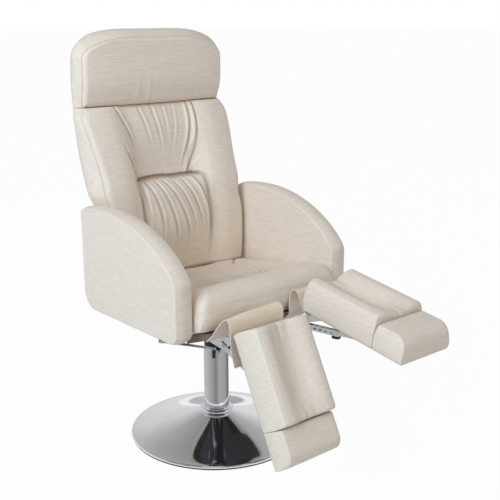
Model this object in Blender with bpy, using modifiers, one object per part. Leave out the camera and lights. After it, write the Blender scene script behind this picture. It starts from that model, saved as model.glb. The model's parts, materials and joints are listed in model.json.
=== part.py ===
"""Pedicure chair: swivel gas-lift base, reclining back, and two leg rests that lift one by one.

Metres, +Z up. The origin is the centre of the base on the floor and the sitter faces -Y, so the
sitter's left is +X. The left leg rest is raised and the right one lowered.
"""
import math

import bmesh
import bpy
from mathutils import Matrix, Vector

# Fits
FIT = 0.0003            # gap between pieces that touch
RUNNING = 0.0006        # side gap between pieces that swing past each other
PADDING_GAP = 0.0014    # between padding and the bent shell behind it
PLATE_EDGE = 0.0015     # softened edges of steel plates
BOARD_EDGE = 0.002      # of boards and tubes
MOULDED_EDGE = 0.001    # of mouldings
EDGE_CROWDING = 0.6     # how far a pad's faces crowd towards its edges

# Base and column
BASE_RADIUS = 0.25
FLOOR_PLATE_RADIUS = BASE_RADIUS - 0.024
FLOOR_PLATE_THICKNESS = 0.008
RIM_TRIM_HEIGHT = 0.005
RIM_TRIM_INSET = 0.004
COVER_WALL = 0.002
COVER_LIP = 0.006
COVER_TOP = 0.066
COVER_FLARE = 1.25      # how fast the trumpet flattens towards the rim
COLUMN_RADIUS = 0.0355
COLUMN_WALL = 0.0035
COLUMN_TOP = 0.262
SOCKET_HEIGHT = 0.042
COLLAR_RADIUS = 0.0475
COLLAR_FLANGE = 0.010
COLLAR_NECK = 0.003
COLLAR_NECK_RADIUS = 0.0395
BEARING_RADIUS = 0.018
BEARING_HEIGHT = 0.008
BUSH_LENGTH = 0.072

# Gas lift
TUBE_RADIUS = 0.0253
TUBE_BOTTOM = 0.075
TUBE_TOP = 0.33
CAVITY_RADIUS = 0.012
CAVITY_TOP = 0.252
ROD_RADIUS = 0.005
ROD_FOOT_HEIGHT = 0.004
PISTON_HEIGHT = 0.012
PISTON_TOP = 0.246

# Seat mechanism
ACTUATOR_RADIUS = 0.034
ACTUATOR_GAP = 0.0045   # between the column's top and the actuator
ACTUATOR_HEIGHT = 0.02
ACTUATOR_LUG_REACH = 0.052
ACTUATOR_LUG_WIDTH = 0.009
HUB_RADIUS = 0.036
HUB_TOP_RADIUS = 0.056
PLATE_THICKNESS = 0.0085
PLATE_FRONT = -0.07
PLATE_REAR = 0.105
LEVER_RADIUS = 0.004
LEVER_END_RADIUS = 0.005
LEVER_END_LENGTH = 0.014
LEVER_CATCH = (0.007, 0.009, 0.026)
LEVER_ELBOW = Vector((-0.072, -0.012, 0.281))
LEVER_TIP = Vector((-0.154, 0.041, 0.2995))

# Seat frame
RAIL_WIDTH = 0.025
RAIL_HEIGHT = 0.025
RAIL_BOTTOM = 0.3663
RAIL_FRONT = -0.155
RAIL_REAR = 0.185
BOARD_INSET = 0.0095
BOARD_THICKNESS = 0.0125
BOARD_REAR = 0.165
FRONT_RAIL_NOSE = (-0.257, 0.4195)
FRONT_RAIL_CHIN = (-0.232, 0.396)
FRONT_RAIL_BREAK = -0.186
FRONT_RAIL_HEEL = 0.012   # height of the face that meets the seat rails
ARM_BRACKET_WIDTH = 0.06
ARM_BRACKET_THICKNESS = 0.006
ARM_BRACKET_CUT_BACK = 0.030

# Upholstery
SEAT_HALF_WIDTH = 0.2445
SEAT_FRONT = -0.246
SEAT_REAR = 0.170
SEAT_TOP_FRONT = 0.506
SEAT_TOP_REAR = 0.450
SEAT_CROWN = 0.010
SEAT_NOSE_RADIUS = 0.045
SEAT_EDGE_RADIUS = 0.022
SEAT_LIFT_AT_FRONT = 0.019
SEAT_LIFT_RUN = 0.06
SEAT_SIDE_DRAW = 0.004
SEAT_NOSE_DRAW = 0.012
SEAT_CROWN_PLACE = 0.4  # share of the depth, from the front
SEAT_CROWN_SPREAD = 0.6
ARM_INNER = SEAT_HALF_WIDTH + 0.0042
ARM_THICKNESS = 0.0533
ARM_ROUND = 0.008
ARM_BOTTOM = 0.390
ARM_REAR = 0.211
ARM_FRONT = -0.221
ARM_FRONT_TOP = 0.546
ARM_CREST = (0.098, 0.693)
ARM_REAR_TOP = 0.668
ARM_REAR_RADIUS = 0.055
ARM_FRONT_RADIUS = 0.030
BACK_HALF_WIDTH = SEAT_HALF_WIDTH - 0.0015
UPPER_SWELL = 0.0075    # how much wider the back is above the arms
UPPER_SWELL_TOP = 0.71
UPPER_SWELL_RUN = 0.055
BACK_BOTTOM = 0.452
SHELL_BOTTOM = 0.440
SHELL_THICKNESS = 0.012
BACK_SEAM = 0.9345
BACK_REAR = ((0.235, 0.440), (0.236, 0.560), (0.250, 0.670), (0.276, 0.740), (0.300, 0.810), (0.318, 0.900),
             (0.326, 0.990), (0.323, 1.060), (0.315, 1.110))
BACK_FRONT = ((0.178, 0.440), (0.172, 0.535), (0.182, 0.685), (0.213, 0.784), (0.248, 0.873), (0.284, 0.940))
BACK_CROWN = 0.020
BACK_EDGE_RADIUS = 0.024
BACK_VALLEY_HALF = 0.085
TUCK_HEIGHT = 0.728
TUCK_DEPTH = 0.036
TUCK_SPREAD = 0.05
TUCK_DISH = 0.17        # how far the dish above the tuck runs
LUMBAR_BULGE = 0.020
LUMBAR_HEIGHT = 0.62
LUMBAR_SPREAD = 0.13
PLEATS = 7
PLEAT_DEPTH = 0.002
HEADREST_TOP = 1.146
HEADREST_HALF_WIDTH = BACK_HALF_WIDTH + 0.0085
HEADREST_FRONT = 0.279
HEADREST_CROWN = 0.022
HEADREST_SET_BACK = 0.006
HEADREST_CORNER_WIDTH = 0.13
HEADREST_CORNER_HEIGHT = 0.11
SHELL_DROP = 0.07       # how far the shell stops below the headrest's top
HEADREST_EDGE_RADIUS = 0.014
SEAM_ROUND = 0.010

# Back hinge
BACK_HINGE = (0.205, 0.415)
BACK_HINGE_EYE = 0.013
HINGE_PLATE = 0.005
HINGE_PIN_RADIUS = 0.005
STRAP_DEPTH = 0.012
STRAP_TOP = 0.555

# Leg rests, in each rest's own frame: u runs out along the rest, w up from its pivot
LEG_INNER = 0.0436
LEG_OUTER = SEAT_HALF_WIDTH - 0.027
LEG_PIVOT = (-0.3305, 0.4125)
LEFT_LEG_ANGLE = 8.68
RIGHT_LEG_ANGLE = 62.72
PAD_START = -0.0192
PAD_LENGTH = 0.2343
PAD_UNDERSIDE = 0.023
PAD_THICKNESS = 0.0884
LEG_BOARD_THICKNESS = 0.012
TROUGH_DEPTH = 0.020
TROUGH_SPREAD = 0.62    # share of the half width
PAD_EDGE_RADIUS = 0.022
PAD_SIDE_DRAW = 0.002
FOOT_GAP = 0.0114
FOOT_LENGTH = 0.0864
FOOT_THICKNESS = 0.0692
FOOT_ROUND = 0.03
SLIDE_TINE_OFFSET = 0.055
SLIDE_TINE_WIDTH = 0.02
SLIDE_THICKNESS = 0.005
SLIDE_START = 0.088
SLIDE_BRIDGE = 0.03
GUIDE_START = 0.172
GUIDE_LENGTH = 0.03
GUIDE_FLOOR = 0.004
GUIDE_SIDE = 0.006

# Leg hinges and ratchet struts
LEG_ARM_HALF = 0.004
LEG_ARM_REAR = -0.075
LEG_ARM_DEPTH = 0.02
EYE_RADIUS = 0.012
LEG_PIN_RADIUS = 0.005
EAR_THICKNESS = 0.003
BRACKET_HALF = 0.02
BRACKET_START = 0.085
BRACKET_END = 0.21
BRACKET_PLATE = 0.0032
FLAP_ROOM = 0.0065
STRUT_REACH = 0.14
STRUT_SEAT_ANGLE = 25.0     # the seat anchor seen from the pivot, below the horizontal
STRUT_LEG_ANGLE = 5.0       # the leg anchor seen from the pivot, below the leg's own line
STRUT_PIN_RADIUS = 0.004
CHANNEL_LENGTH = 0.157
CHANNEL_WALL = 0.002
CHANNEL_HALF_HEIGHT = 0.008
CHANNEL_SLOTS = 5
CHANNEL_SLOT = (0.012, 0.005)
CHANNEL_SLOT_PITCH = 0.021
CHANNEL_SLOT_START = 0.045
BAR_LENGTH = 0.157
BAR_HALF_HEIGHT = 0.0055
BAR_SLOT = 0.032
BAR_OVERHANG = 0.022
LATCH_LENGTH = 0.022
LATCH_HEIGHT = 0.008

# Flaps that cover the gap between seat and leg rest
FLAP_THICKNESS = 0.003
# The line that each flap takes from the front rail's nose, over a loop and down behind its leg rest
FLAP_LINES = {
    "left": ((-0.2595, 0.4400), (-0.2610, 0.4620), (-0.2655, 0.4760), (-0.2750, 0.4835), (-0.2855, 0.4805),
             (-0.2960, 0.4650), (-0.3080, 0.4430), (-0.3270, 0.4260), (-0.3470, 0.4180), (-0.3700, 0.4110)),
    "right": ((-0.2690, 0.4380), (-0.2850, 0.4600), (-0.3010, 0.4740), (-0.3160, 0.4785), (-0.3265, 0.4690),
              (-0.3300, 0.4480), (-0.3310, 0.4140), (-0.3340, 0.3890), (-0.3410, 0.3660)),
}
# The notch that clears the leg rest's hinge: half its width, and the edges that it is cut back to
NOTCH_HALF_WIDTH = 0.017
NOTCH_EDGE = {"left": (-0.3135, 0.47), "right": (-0.318, 0.434)}
NOTCH_FAR = (-0.40, 0.33)

ROUND_STEPS = 36
RIM_STEPS = 48
ROD_STEPS = 24

# Sizes and places that follow from the ones above
SIDES = (("left", 1.0), ("right", -1.0))
LEG_MIDDLE = (LEG_INNER + LEG_OUTER) / 2
RAIL_TOP = RAIL_BOTTOM + RAIL_HEIGHT
BOARD_BOTTOM = RAIL_TOP + FIT
BOARD_TOP = BOARD_BOTTOM + BOARD_THICKNESS
ACTUATOR_BOTTOM = COLUMN_TOP + ACTUATOR_GAP
ACTUATOR_TOP = ACTUATOR_BOTTOM + ACTUATOR_HEIGHT
LUG_WAY = Vector((-1.0, -1.0, 0.0)).normalized()
LEVER_START = LUG_WAY * (ACTUATOR_LUG_REACH + FIT + LEVER_RADIUS)
LEVER_START.z = ACTUATOR_BOTTOM + ACTUATOR_HEIGHT / 2
FOOT_START = PAD_START + PAD_LENGTH + FOOT_GAP
EAR_INNER = LEG_ARM_HALF + RUNNING
LEG_ANCHOR = (STRUT_REACH * math.cos(math.radians(STRUT_LEG_ANGLE)),
              -STRUT_REACH * math.sin(math.radians(STRUT_LEG_ANGLE)))
SEAT_ANCHOR = (LEG_PIVOT[0] + STRUT_REACH * math.cos(math.radians(STRUT_SEAT_ANGLE)),
               LEG_PIVOT[1] - STRUT_REACH * math.sin(math.radians(STRUT_SEAT_ANGLE)))

for old in list(bpy.data.objects):
    bpy.data.objects.remove(old, do_unlink=True)

PARTS = bpy.data.collections.new("pedicure_chair")
CUTTERS = bpy.data.collections.new("cutters")
bpy.context.scene.collection.children.link(PARTS)
bpy.context.scene.collection.children.link(CUTTERS)


def finish(name, colour, roughness, metallic):
    """A plain Principled material."""
    made = bpy.data.materials.new(name)
    made.use_nodes = True
    shader = made.node_tree.nodes["Principled BSDF"]
    shader.inputs["Base Color"].default_value = (*colour, 1.0)
    shader.inputs["Roughness"].default_value = roughness
    shader.inputs["Metallic"].default_value = metallic
    return made


CHROME = finish("chrome", (0.80, 0.80, 0.82), 0.08, 1.0)
ZINC = finish("zinc_plate", (0.62, 0.63, 0.65), 0.35, 1.0)
STEEL = finish("painted_steel", (0.05, 0.05, 0.055), 0.5, 0.0)
IRON = finish("cast_plate", (0.12, 0.12, 0.12), 0.7, 0.2)
RUBBER = finish("black_rubber", (0.03, 0.03, 0.03), 0.8, 0.0)
PLASTIC = finish("black_plastic", (0.03, 0.03, 0.032), 0.45, 0.0)
PLYWOOD = finish("brown_board", (0.22, 0.16, 0.11), 0.75, 0.0)
LEATHERETTE = finish("cream_leatherette", (0.80, 0.74, 0.65), 0.5, 0.0)


def pivot(name, place, turn=0.0, parent=None):
    """An empty on a joint's axis, turned about X by an angle in degrees."""
    empty = bpy.data.objects.new(name, None)
    PARTS.objects.link(empty)
    empty.location = place
    empty.rotation_euler = (math.radians(turn), 0.0, 0.0)
    empty.parent = parent
    return empty


def from_bmesh(name, bm, material, parent=None):
    """An object holding a bmesh, in its parent's frame."""
    mesh = bpy.data.meshes.new(name)
    bm.to_mesh(mesh)
    bm.free()
    mesh.materials.append(material)
    mesh.shade_smooth()
    mesh.set_sharp_from_angle(angle=math.radians(35))
    made = bpy.data.objects.new(name, mesh)
    PARTS.objects.link(made)
    made.parent = parent
    return made


def block(name, low, high, material, parent=None, bevel=0.0):
    """A box between two corners, with softened edges if a bevel is given."""
    bm = bmesh.new()
    bmesh.ops.create_cube(bm, size=1.0)
    size = Vector(high) - Vector(low)
    middle = (Vector(high) + Vector(low)) / 2
    bmesh.ops.transform(bm, matrix=Matrix.Translation(middle) @ Matrix.Diagonal((*size, 1.0)), verts=bm.verts)
    made = from_bmesh(name, bm, material, parent)
    if bevel:
        soften(made, bevel)
    return made


def soften(part, width):
    """Rounded edges."""
    rounding = part.modifiers.new("rounded_edges", "BEVEL")
    rounding.width = width
    rounding.segments = 2
    rounding.limit_method = "ANGLE"


def turned(name, profile, material, parent=None, closed=False, steps=ROUND_STEPS):
    """A profile of (radius, height) turned about Z; it runs down the outer side."""
    bm = bmesh.new()
    points = [bm.verts.new((radius, 0.0, height)) for radius, height in profile]
    for first, second in zip(points, points[1:]):
        bm.edges.new((first, second))
    if closed:
        bm.edges.new((points[-1], points[0]))
    made = from_bmesh(name, bm, material, parent)
    screw = made.modifiers.new("turning", "SCREW")
    screw.steps = steps
    screw.render_steps = steps
    screw.use_merge_vertices = True
    screw.merge_threshold = 1e-5
    return made


def rod(name, start, end, radius, material, parent=None, segments=16):
    """A round bar between two points."""
    bm = bmesh.new()
    along = Vector(end) - Vector(start)
    bmesh.ops.create_cone(bm, cap_ends=True, segments=segments, radius1=radius, radius2=radius,
                          depth=along.length)
    turn = along.to_track_quat("Z", "Y").to_matrix().to_4x4()
    middle = Matrix.Translation((Vector(start) + Vector(end)) / 2)
    bmesh.ops.transform(bm, matrix=middle @ turn, verts=bm.verts)
    return from_bmesh(name, bm, material, parent)


def circle(centre, radius, count=16):
    """Points round a circle."""
    return [(centre[0] + radius * math.cos(2 * math.pi * k / count),
             centre[1] + radius * math.sin(2 * math.pi * k / count)) for k in range(count)]


def arc(centre, radius, start, end, count=6):
    """Points along an arc, between two angles in degrees."""
    angles = [math.radians(start + (end - start) * k / count) for k in range(count + 1)]
    return [(centre[0] + radius * math.cos(a), centre[1] + radius * math.sin(a)) for a in angles]


def smooth_path(points, count=5):
    """Points on a smooth curve through the given ones."""
    ends = [points[0], *points, points[-1]]
    path = []
    for a, b, c, d in zip(ends, ends[1:], ends[2:], ends[3:]):
        for k in range(count):
            t = k / count
            weights = (-t + 2 * t ** 2 - t ** 3, 2 - 5 * t ** 2 + 3 * t ** 3, t + 4 * t ** 2 - 3 * t ** 3,
                       t ** 3 - t ** 2)
            path.append(tuple(sum(w * v for w, v in zip(weights, four)) / 2 for four in zip(a, b, c, d)))
    path.append(tuple(points[-1]))
    return path


ACROSS_X = Matrix(((0, 0, 1, 0), (1, 0, 0, 0), (0, 1, 0, 0), (0, 0, 0, 1)))
FLAT = Matrix.Identity(4)


def plate(name, outline, middle, half, material, parent=None, facing=ACROSS_X, holes=(), rounded=0.0):
    """A flat outline given a thickness of twice half about its middle plane."""
    curve = bpy.data.curves.new(name, "CURVE")
    curve.dimensions = "2D"
    curve.fill_mode = "BOTH"
    curve.extrude = half - rounded
    curve.bevel_depth = rounded
    curve.bevel_resolution = 1
    curve.offset = -rounded
    for points in (outline, *holes):
        spline = curve.splines.new("POLY")
        spline.points.add(len(points) - 1)
        for point, (x, y) in zip(spline.points, points):
            point.co = (x, y, 0.0, 1.0)
        spline.use_cyclic_u = True
    drawn = bpy.data.objects.new(name + "_outline", curve)
    PARTS.objects.link(drawn)
    bpy.context.view_layer.update()
    graph = bpy.context.evaluated_depsgraph_get()
    mesh = bpy.data.meshes.new_from_object(drawn.evaluated_get(graph))
    bpy.data.objects.remove(drawn, do_unlink=True)
    bm = bmesh.new()
    bm.from_mesh(mesh)
    bmesh.ops.remove_doubles(bm, verts=bm.verts, dist=1e-5)
    bmesh.ops.recalc_face_normals(bm, faces=bm.faces)
    bmesh.ops.transform(bm, matrix=facing @ Matrix.Translation((0.0, 0.0, middle)), verts=bm.verts)
    return from_bmesh(name, bm, material, parent)


def combine(part, other, operation):
    """A Boolean with a piece that then stays hidden among the cutters."""
    for holder in list(other.users_collection):
        holder.objects.unlink(other)
    CUTTERS.objects.link(other)
    other.hide_render = True
    other.display_type = "WIRE"
    step = part.modifiers.new(operation.lower(), "BOOLEAN")
    step.operation = operation
    step.object = other


def pad(name, across, along, sides, shape, material, parent=None):
    """A soft slab: a grid raised to a solid, each point placed by shape(s, t, h).

    s and t run from -1 to 1 across and along, closer together near the edges, and h from 0 on the
    underside to 1 on top. The flat stretches of the underside are single faces.
    """
    bm = bmesh.new()
    bmesh.ops.create_grid(bm, x_segments=across, y_segments=along, size=1.0)
    raised = bmesh.ops.extrude_face_region(bm, geom=bm.faces[:])["geom"]
    for item in raised:
        if isinstance(item, bmesh.types.BMVert):
            item.co.z = 1.0
    uprights = [edge for edge in bm.edges if abs(edge.verts[0].co.z - edge.verts[1].co.z) > 0.5]
    bmesh.ops.subdivide_edges(bm, edges=uprights, cuts=sides - 1, use_grid_fill=True)
    under = [vert for vert in bm.verts if vert.co.z < 0.01]
    for vert in bm.verts:
        s = blend(vert.co.x, math.sin(vert.co.x * math.pi / 2), EDGE_CROWDING)
        t = blend(vert.co.y, math.sin(vert.co.y * math.pi / 2), EDGE_CROWDING)
        vert.co = shape(s, t, vert.co.z)
    flat = [edge for edge in bm.edges if edge.verts[0] in under and edge.verts[1] in under]
    bmesh.ops.dissolve_limit(bm, angle_limit=math.radians(0.2), verts=under, edges=flat)
    bmesh.ops.recalc_face_normals(bm, faces=bm.faces)
    return from_bmesh(name, bm, material, parent)


def fall(distance, radius):
    """How far a rounded edge has dropped, at a distance in from the edge."""
    reach = min(max(1.0 - distance / radius, 0.0), 1.0)
    return radius * (1.0 - math.sqrt(max(1.0 - reach * reach, 0.0)))


def hump(value, middle, half):
    """A smooth bump: 1 at the middle, 0 from half a width away."""
    gone = min(abs(value - middle) / half, 1.0)
    return math.cos(gone * math.pi / 2) ** 2


def blend(first, second, share):
    """A value between two others."""
    return first + (second - first) * share


def reading(profile, height):
    """The first value of a profile of (value, height) pairs, read smoothly at a height."""
    path = smooth_path(profile)
    for (y0, z0), (y1, z1) in zip(path, path[1:]):
        if z0 <= height <= z1:
            return blend(y0, y1, (height - z0) / max(z1 - z0, 1e-9))
    return path[-1][0] if height > path[-1][1] else path[0][0]


def make_base():
    """The weighted floor plate under a spun chrome cover, and the column that stands on it."""
    turned("floor_plate", [(0.0, FLOOR_PLATE_THICKNESS), (FLOOR_PLATE_RADIUS, FLOOR_PLATE_THICKNESS),
                           (FLOOR_PLATE_RADIUS, 0.0), (0.0, 0.0)], IRON, steps=RIM_STEPS)
    trim_outer = BASE_RADIUS - RIM_TRIM_INSET
    trim_inner = FLOOR_PLATE_RADIUS + FIT
    turned("rim_trim", [(trim_outer, RIM_TRIM_HEIGHT), (trim_outer, 0.0), (trim_inner, 0.0),
                        (trim_inner, RIM_TRIM_HEIGHT)], RUBBER, closed=True, steps=RIM_STEPS)
    throat = COLUMN_RADIUS + FIT
    rim_bottom = RIM_TRIM_HEIGHT + FIT
    rim_top = rim_bottom + COVER_LIP
    shares = [k / 7 for k in range(8)]
    shoulder = BASE_RADIUS - COVER_WALL
    outer = [(blend(throat, shoulder, q), blend(rim_top, COVER_TOP, (1 - q) ** COVER_FLARE)) for q in shares]
    lip = [(BASE_RADIUS, rim_top - COVER_WALL), (BASE_RADIUS, rim_bottom), (shoulder, rim_bottom)]
    inner = [(radius, height - COVER_WALL) for radius, height in reversed(outer)]
    turned("base_cover", [*outer, *lip, *inner], CHROME, closed=True, steps=RIM_STEPS)
    flange_bottom = COVER_TOP + FIT
    flange_top = flange_bottom + COLLAR_FLANGE
    neck_top = flange_top + COLLAR_NECK
    bead = COLLAR_FLANGE / 2
    rounded = arc((COLLAR_RADIUS - bead, flange_bottom + bead), bead, 90, -90)
    neck = [(throat, neck_top), (COLLAR_NECK_RADIUS, neck_top), (COLLAR_NECK_RADIUS, flange_top)]
    turned("base_collar", [*neck, *rounded, (throat, flange_bottom)], CHROME, closed=True)
    column_inner = COLUMN_RADIUS - COLUMN_WALL
    foot = FLOOR_PLATE_THICKNESS + FIT
    turned("column_tube", [(column_inner, COLUMN_TOP), (COLUMN_RADIUS, COLUMN_TOP), (COLUMN_RADIUS, foot),
                           (column_inner, foot)], CHROME, closed=True)
    socket_top = foot + SOCKET_HEIGHT
    snug = column_inner - FIT
    turned("column_socket", [(0.0, socket_top), (snug, socket_top), (snug, foot), (0.0, foot)], STEEL)
    bearing_bottom = socket_top + FIT
    bearing_top = bearing_bottom + BEARING_HEIGHT
    bearing_bore = ROD_RADIUS + FIT
    turned("thrust_bearing", [(bearing_bore, bearing_top), (BEARING_RADIUS, bearing_top),
                              (BEARING_RADIUS, bearing_bottom), (bearing_bore, bearing_bottom)], STEEL,
           closed=True, steps=ROD_STEPS)
    bush_bore = TUBE_RADIUS + FIT
    turned("guide_bush", [(bush_bore, COLUMN_TOP), (snug, COLUMN_TOP), (snug, COLUMN_TOP - BUSH_LENGTH),
                          (bush_bore, COLUMN_TOP - BUSH_LENGTH)], PLASTIC, closed=True)
    return bearing_top, bearing_bottom


def make_lift(spindle, seat, bearing_top, bearing_bottom):
    """The gas spring: its rod turns on the bearing and its tube rises on the rod."""
    foot_bottom = bearing_top + FIT
    foot_top = foot_bottom + ROD_FOOT_HEIGHT
    piston_radius = CAVITY_RADIUS - FIT
    piston_bottom = PISTON_TOP - PISTON_HEIGHT
    turned("piston_rod", [(0.0, PISTON_TOP), (piston_radius, PISTON_TOP), (piston_radius, piston_bottom),
                          (ROD_RADIUS, piston_bottom), (ROD_RADIUS, foot_top), (piston_radius, foot_top),
                          (piston_radius, foot_bottom), (ROD_RADIUS, foot_bottom),
                          (ROD_RADIUS, bearing_bottom + FIT), (0.0, bearing_bottom + FIT)], ZINC, spindle,
           steps=ROD_STEPS)
    turned("pressure_tube", [(0.0, TUBE_TOP), (TUBE_RADIUS, TUBE_TOP), (TUBE_RADIUS, TUBE_BOTTOM),
                             (CAVITY_RADIUS, TUBE_BOTTOM), (CAVITY_RADIUS, CAVITY_TOP), (0.0, CAVITY_TOP)],
           CHROME, seat)


def make_mechanism(seat, lever):
    """The lift actuator with its lever, and the hub and plate that carry the seat frame."""
    bore = TUBE_RADIUS + FIT
    actuator = turned("lift_actuator", [(bore, ACTUATOR_TOP), (ACTUATOR_RADIUS, ACTUATOR_TOP),
                                        (ACTUATOR_RADIUS, ACTUATOR_BOTTOM), (bore, ACTUATOR_BOTTOM)],
                      PLASTIC, seat, closed=True)
    lug_start = bore + LEVER_RADIUS
    lug = block("actuator_lug", (lug_start, -ACTUATOR_LUG_WIDTH / 2, ACTUATOR_BOTTOM + LEVER_RADIUS),
                (ACTUATOR_LUG_REACH, ACTUATOR_LUG_WIDTH / 2, ACTUATOR_TOP - LEVER_RADIUS), PLASTIC, seat)
    lug.rotation_euler = (0.0, 0.0, math.atan2(LUG_WAY.y, LUG_WAY.x))
    combine(actuator, lug, "UNION")
    hub_bottom = ACTUATOR_TOP + FIT
    plate_top = RAIL_BOTTOM - FIT
    plate_bottom = plate_top - PLATE_THICKNESS
    hub_top = plate_bottom - FIT
    turned("mechanism_hub", [(bore, hub_top), (HUB_TOP_RADIUS, hub_top),
                             (HUB_TOP_RADIUS, hub_top - (HUB_TOP_RADIUS - HUB_RADIUS) / 2),
                             (HUB_RADIUS, hub_bottom + (hub_top - hub_bottom) / 2), (HUB_RADIUS, hub_bottom),
                             (bore, hub_bottom)], ZINC, seat, closed=True)
    reach = LEG_MIDDLE + RAIL_WIDTH / 2
    block("mounting_plate", (-reach, PLATE_FRONT, plate_bottom), (reach, PLATE_REAR, plate_top), STEEL, seat,
          PLATE_EDGE)
    lever_points = [Vector((0.0, 0.0, 0.0)), LUG_WAY * 2 * LEVER_RADIUS, LEVER_ELBOW - LEVER_START,
                    LEVER_TIP - LEVER_START]
    lever_line = bpy.data.curves.new("lever_line", "CURVE")
    lever_line.dimensions = "3D"
    lever_line.bevel_depth = LEVER_RADIUS
    lever_line.bevel_resolution = 2
    lever_line.use_fill_caps = True
    spline = lever_line.splines.new("POLY")
    route = smooth_path([tuple(p) for p in lever_points])
    spline.points.add(len(route) - 1)
    for point, place in zip(spline.points, route):
        point.co = (*place, 1.0)
    lever_line.materials.append(ZINC)
    lever_rod = bpy.data.objects.new("lever_rod", lever_line)
    PARTS.objects.link(lever_rod)
    lever_rod.parent = lever
    way = (LEVER_TIP - LEVER_ELBOW).normalized()
    end_start = lever_points[-1] + way * FIT
    rod("lever_end", end_start, end_start + way * LEVER_END_LENGTH, LEVER_END_RADIUS, ZINC, lever)
    wide, deep, tall = LEVER_CATCH
    top = -LEVER_RADIUS - FIT
    catch = block("lever_catch", (-wide / 2, -deep / 2, top - tall), (wide / 2, deep / 2, top), PLASTIC,
                  lever, MOULDED_EDGE)
    catch.rotation_euler = (0.0, 0.0, math.atan2(LUG_WAY.y, LUG_WAY.x))


def make_seat_frame(seat):
    """Two rails on the mounting plate, the seat board, the front rail and the arm brackets."""
    for side, sign in SIDES:
        middle = sign * LEG_MIDDLE
        block("seat_rail_" + side, (middle - RAIL_WIDTH / 2, RAIL_FRONT, RAIL_BOTTOM),
              (middle + RAIL_WIDTH / 2, RAIL_REAR, RAIL_TOP), STEEL, seat, BOARD_EDGE)
        start = LEG_MIDDLE + RAIL_WIDTH / 2 + FIT
        end = ARM_INNER + ARM_THICKNESS - ARM_BRACKET_CUT_BACK
        top = ARM_BOTTOM - FIT
        near, far = sorted((sign * start, sign * end))
        block("arm_bracket_" + side, (near, -ARM_BRACKET_WIDTH / 2, top - ARM_BRACKET_THICKNESS),
              (far, ARM_BRACKET_WIDTH / 2, top), STEEL, seat, PLATE_EDGE)
    board_half = SEAT_HALF_WIDTH - BOARD_INSET
    block("seat_board", (-board_half, RAIL_FRONT, BOARD_BOTTOM), (board_half, BOARD_REAR, BOARD_TOP), PLASTIC,
          seat, BOARD_EDGE)
    back_face = RAIL_FRONT - FIT
    section = [(back_face, RAIL_BOTTOM), (back_face, RAIL_BOTTOM + FRONT_RAIL_HEEL),
               (FRONT_RAIL_BREAK, BOARD_TOP), FRONT_RAIL_NOSE, FRONT_RAIL_CHIN]
    plate("front_rail", section, 0.0, LEG_OUTER, PLYWOOD, seat)


def make_seat_cushion(seat):
    """A box cushion that slopes back, with a waterfall front and a soft crown."""
    def shape(s, t, h):
        y = blend(SEAT_FRONT, SEAT_REAR, (t + 1) / 2)
        lifted = min(max((FRONT_RAIL_BREAK - y) / SEAT_LIFT_RUN, 0.0), 1.0)
        under = BOARD_TOP + FIT + SEAT_LIFT_AT_FRONT * lifted
        share = (y - SEAT_FRONT) / (SEAT_REAR - SEAT_FRONT)
        top = blend(SEAT_TOP_FRONT, SEAT_TOP_REAR, share)
        top += SEAT_CROWN * (1 - s * s) * hump(share, SEAT_CROWN_PLACE, SEAT_CROWN_SPREAD)
        top -= fall(y - SEAT_FRONT, SEAT_NOSE_RADIUS)
        top -= fall(SEAT_HALF_WIDTH * (1 - abs(s)), SEAT_EDGE_RADIUS)
        swell = math.sin(math.pi * h)
        x = s * (SEAT_HALF_WIDTH - SEAT_SIDE_DRAW * (1 - swell))
        nose = SEAT_NOSE_DRAW * (1 - swell) if t < -0.999 else 0.0
        return Vector((x, y + nose, blend(under, top, h)))

    pad("seat_cushion", 14, 16, 4, shape, LEATHERETTE, seat)


def arm_outline():
    """The arm panel's side view: flat bottom, upright front, and a long arch over to the rear."""
    rear_low = arc((ARM_REAR - ARM_REAR_RADIUS, ARM_BOTTOM + ARM_REAR_RADIUS), ARM_REAR_RADIUS, -90, 0)
    front_low = arc((ARM_FRONT + ARM_FRONT_RADIUS, ARM_BOTTOM + ARM_FRONT_RADIUS), ARM_FRONT_RADIUS, 180, 270,
                    4)
    rear_drop = ARM_REAR - ARM_CREST[0]
    rise = ARM_CREST[1] - ARM_FRONT_TOP
    run = ARM_CREST[0] - ARM_FRONT
    rear_top = [(ARM_CREST[0] + rear_drop * math.sin(q * math.pi / 2),
                 ARM_REAR_TOP + (ARM_CREST[1] - ARM_REAR_TOP) * math.cos(q * math.pi / 2))
                for q in (1.0, 0.75, 0.5, 0.25)]
    quarter = [k * math.pi / 20 for k in range(11)]
    arch = [(ARM_CREST[0] - run * math.sin(q), ARM_FRONT_TOP + rise * math.cos(q) ** 1.25) for q in quarter]
    return [*front_low, *rear_low, *rear_top, *arch]


def make_arms(seat):
    """Two padded arm panels, one each side of the seat."""
    for side, sign in SIDES:
        middle = sign * (ARM_INNER + ARM_THICKNESS / 2)
        plate("arm_" + side, arm_outline(), middle, ARM_THICKNESS / 2, LEATHERETTE, seat, rounded=ARM_ROUND)


def shell_front(height):
    """Where the back shell's front face lies at a height."""
    return reading(BACK_REAR, height) - SHELL_THICKNESS


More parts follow.
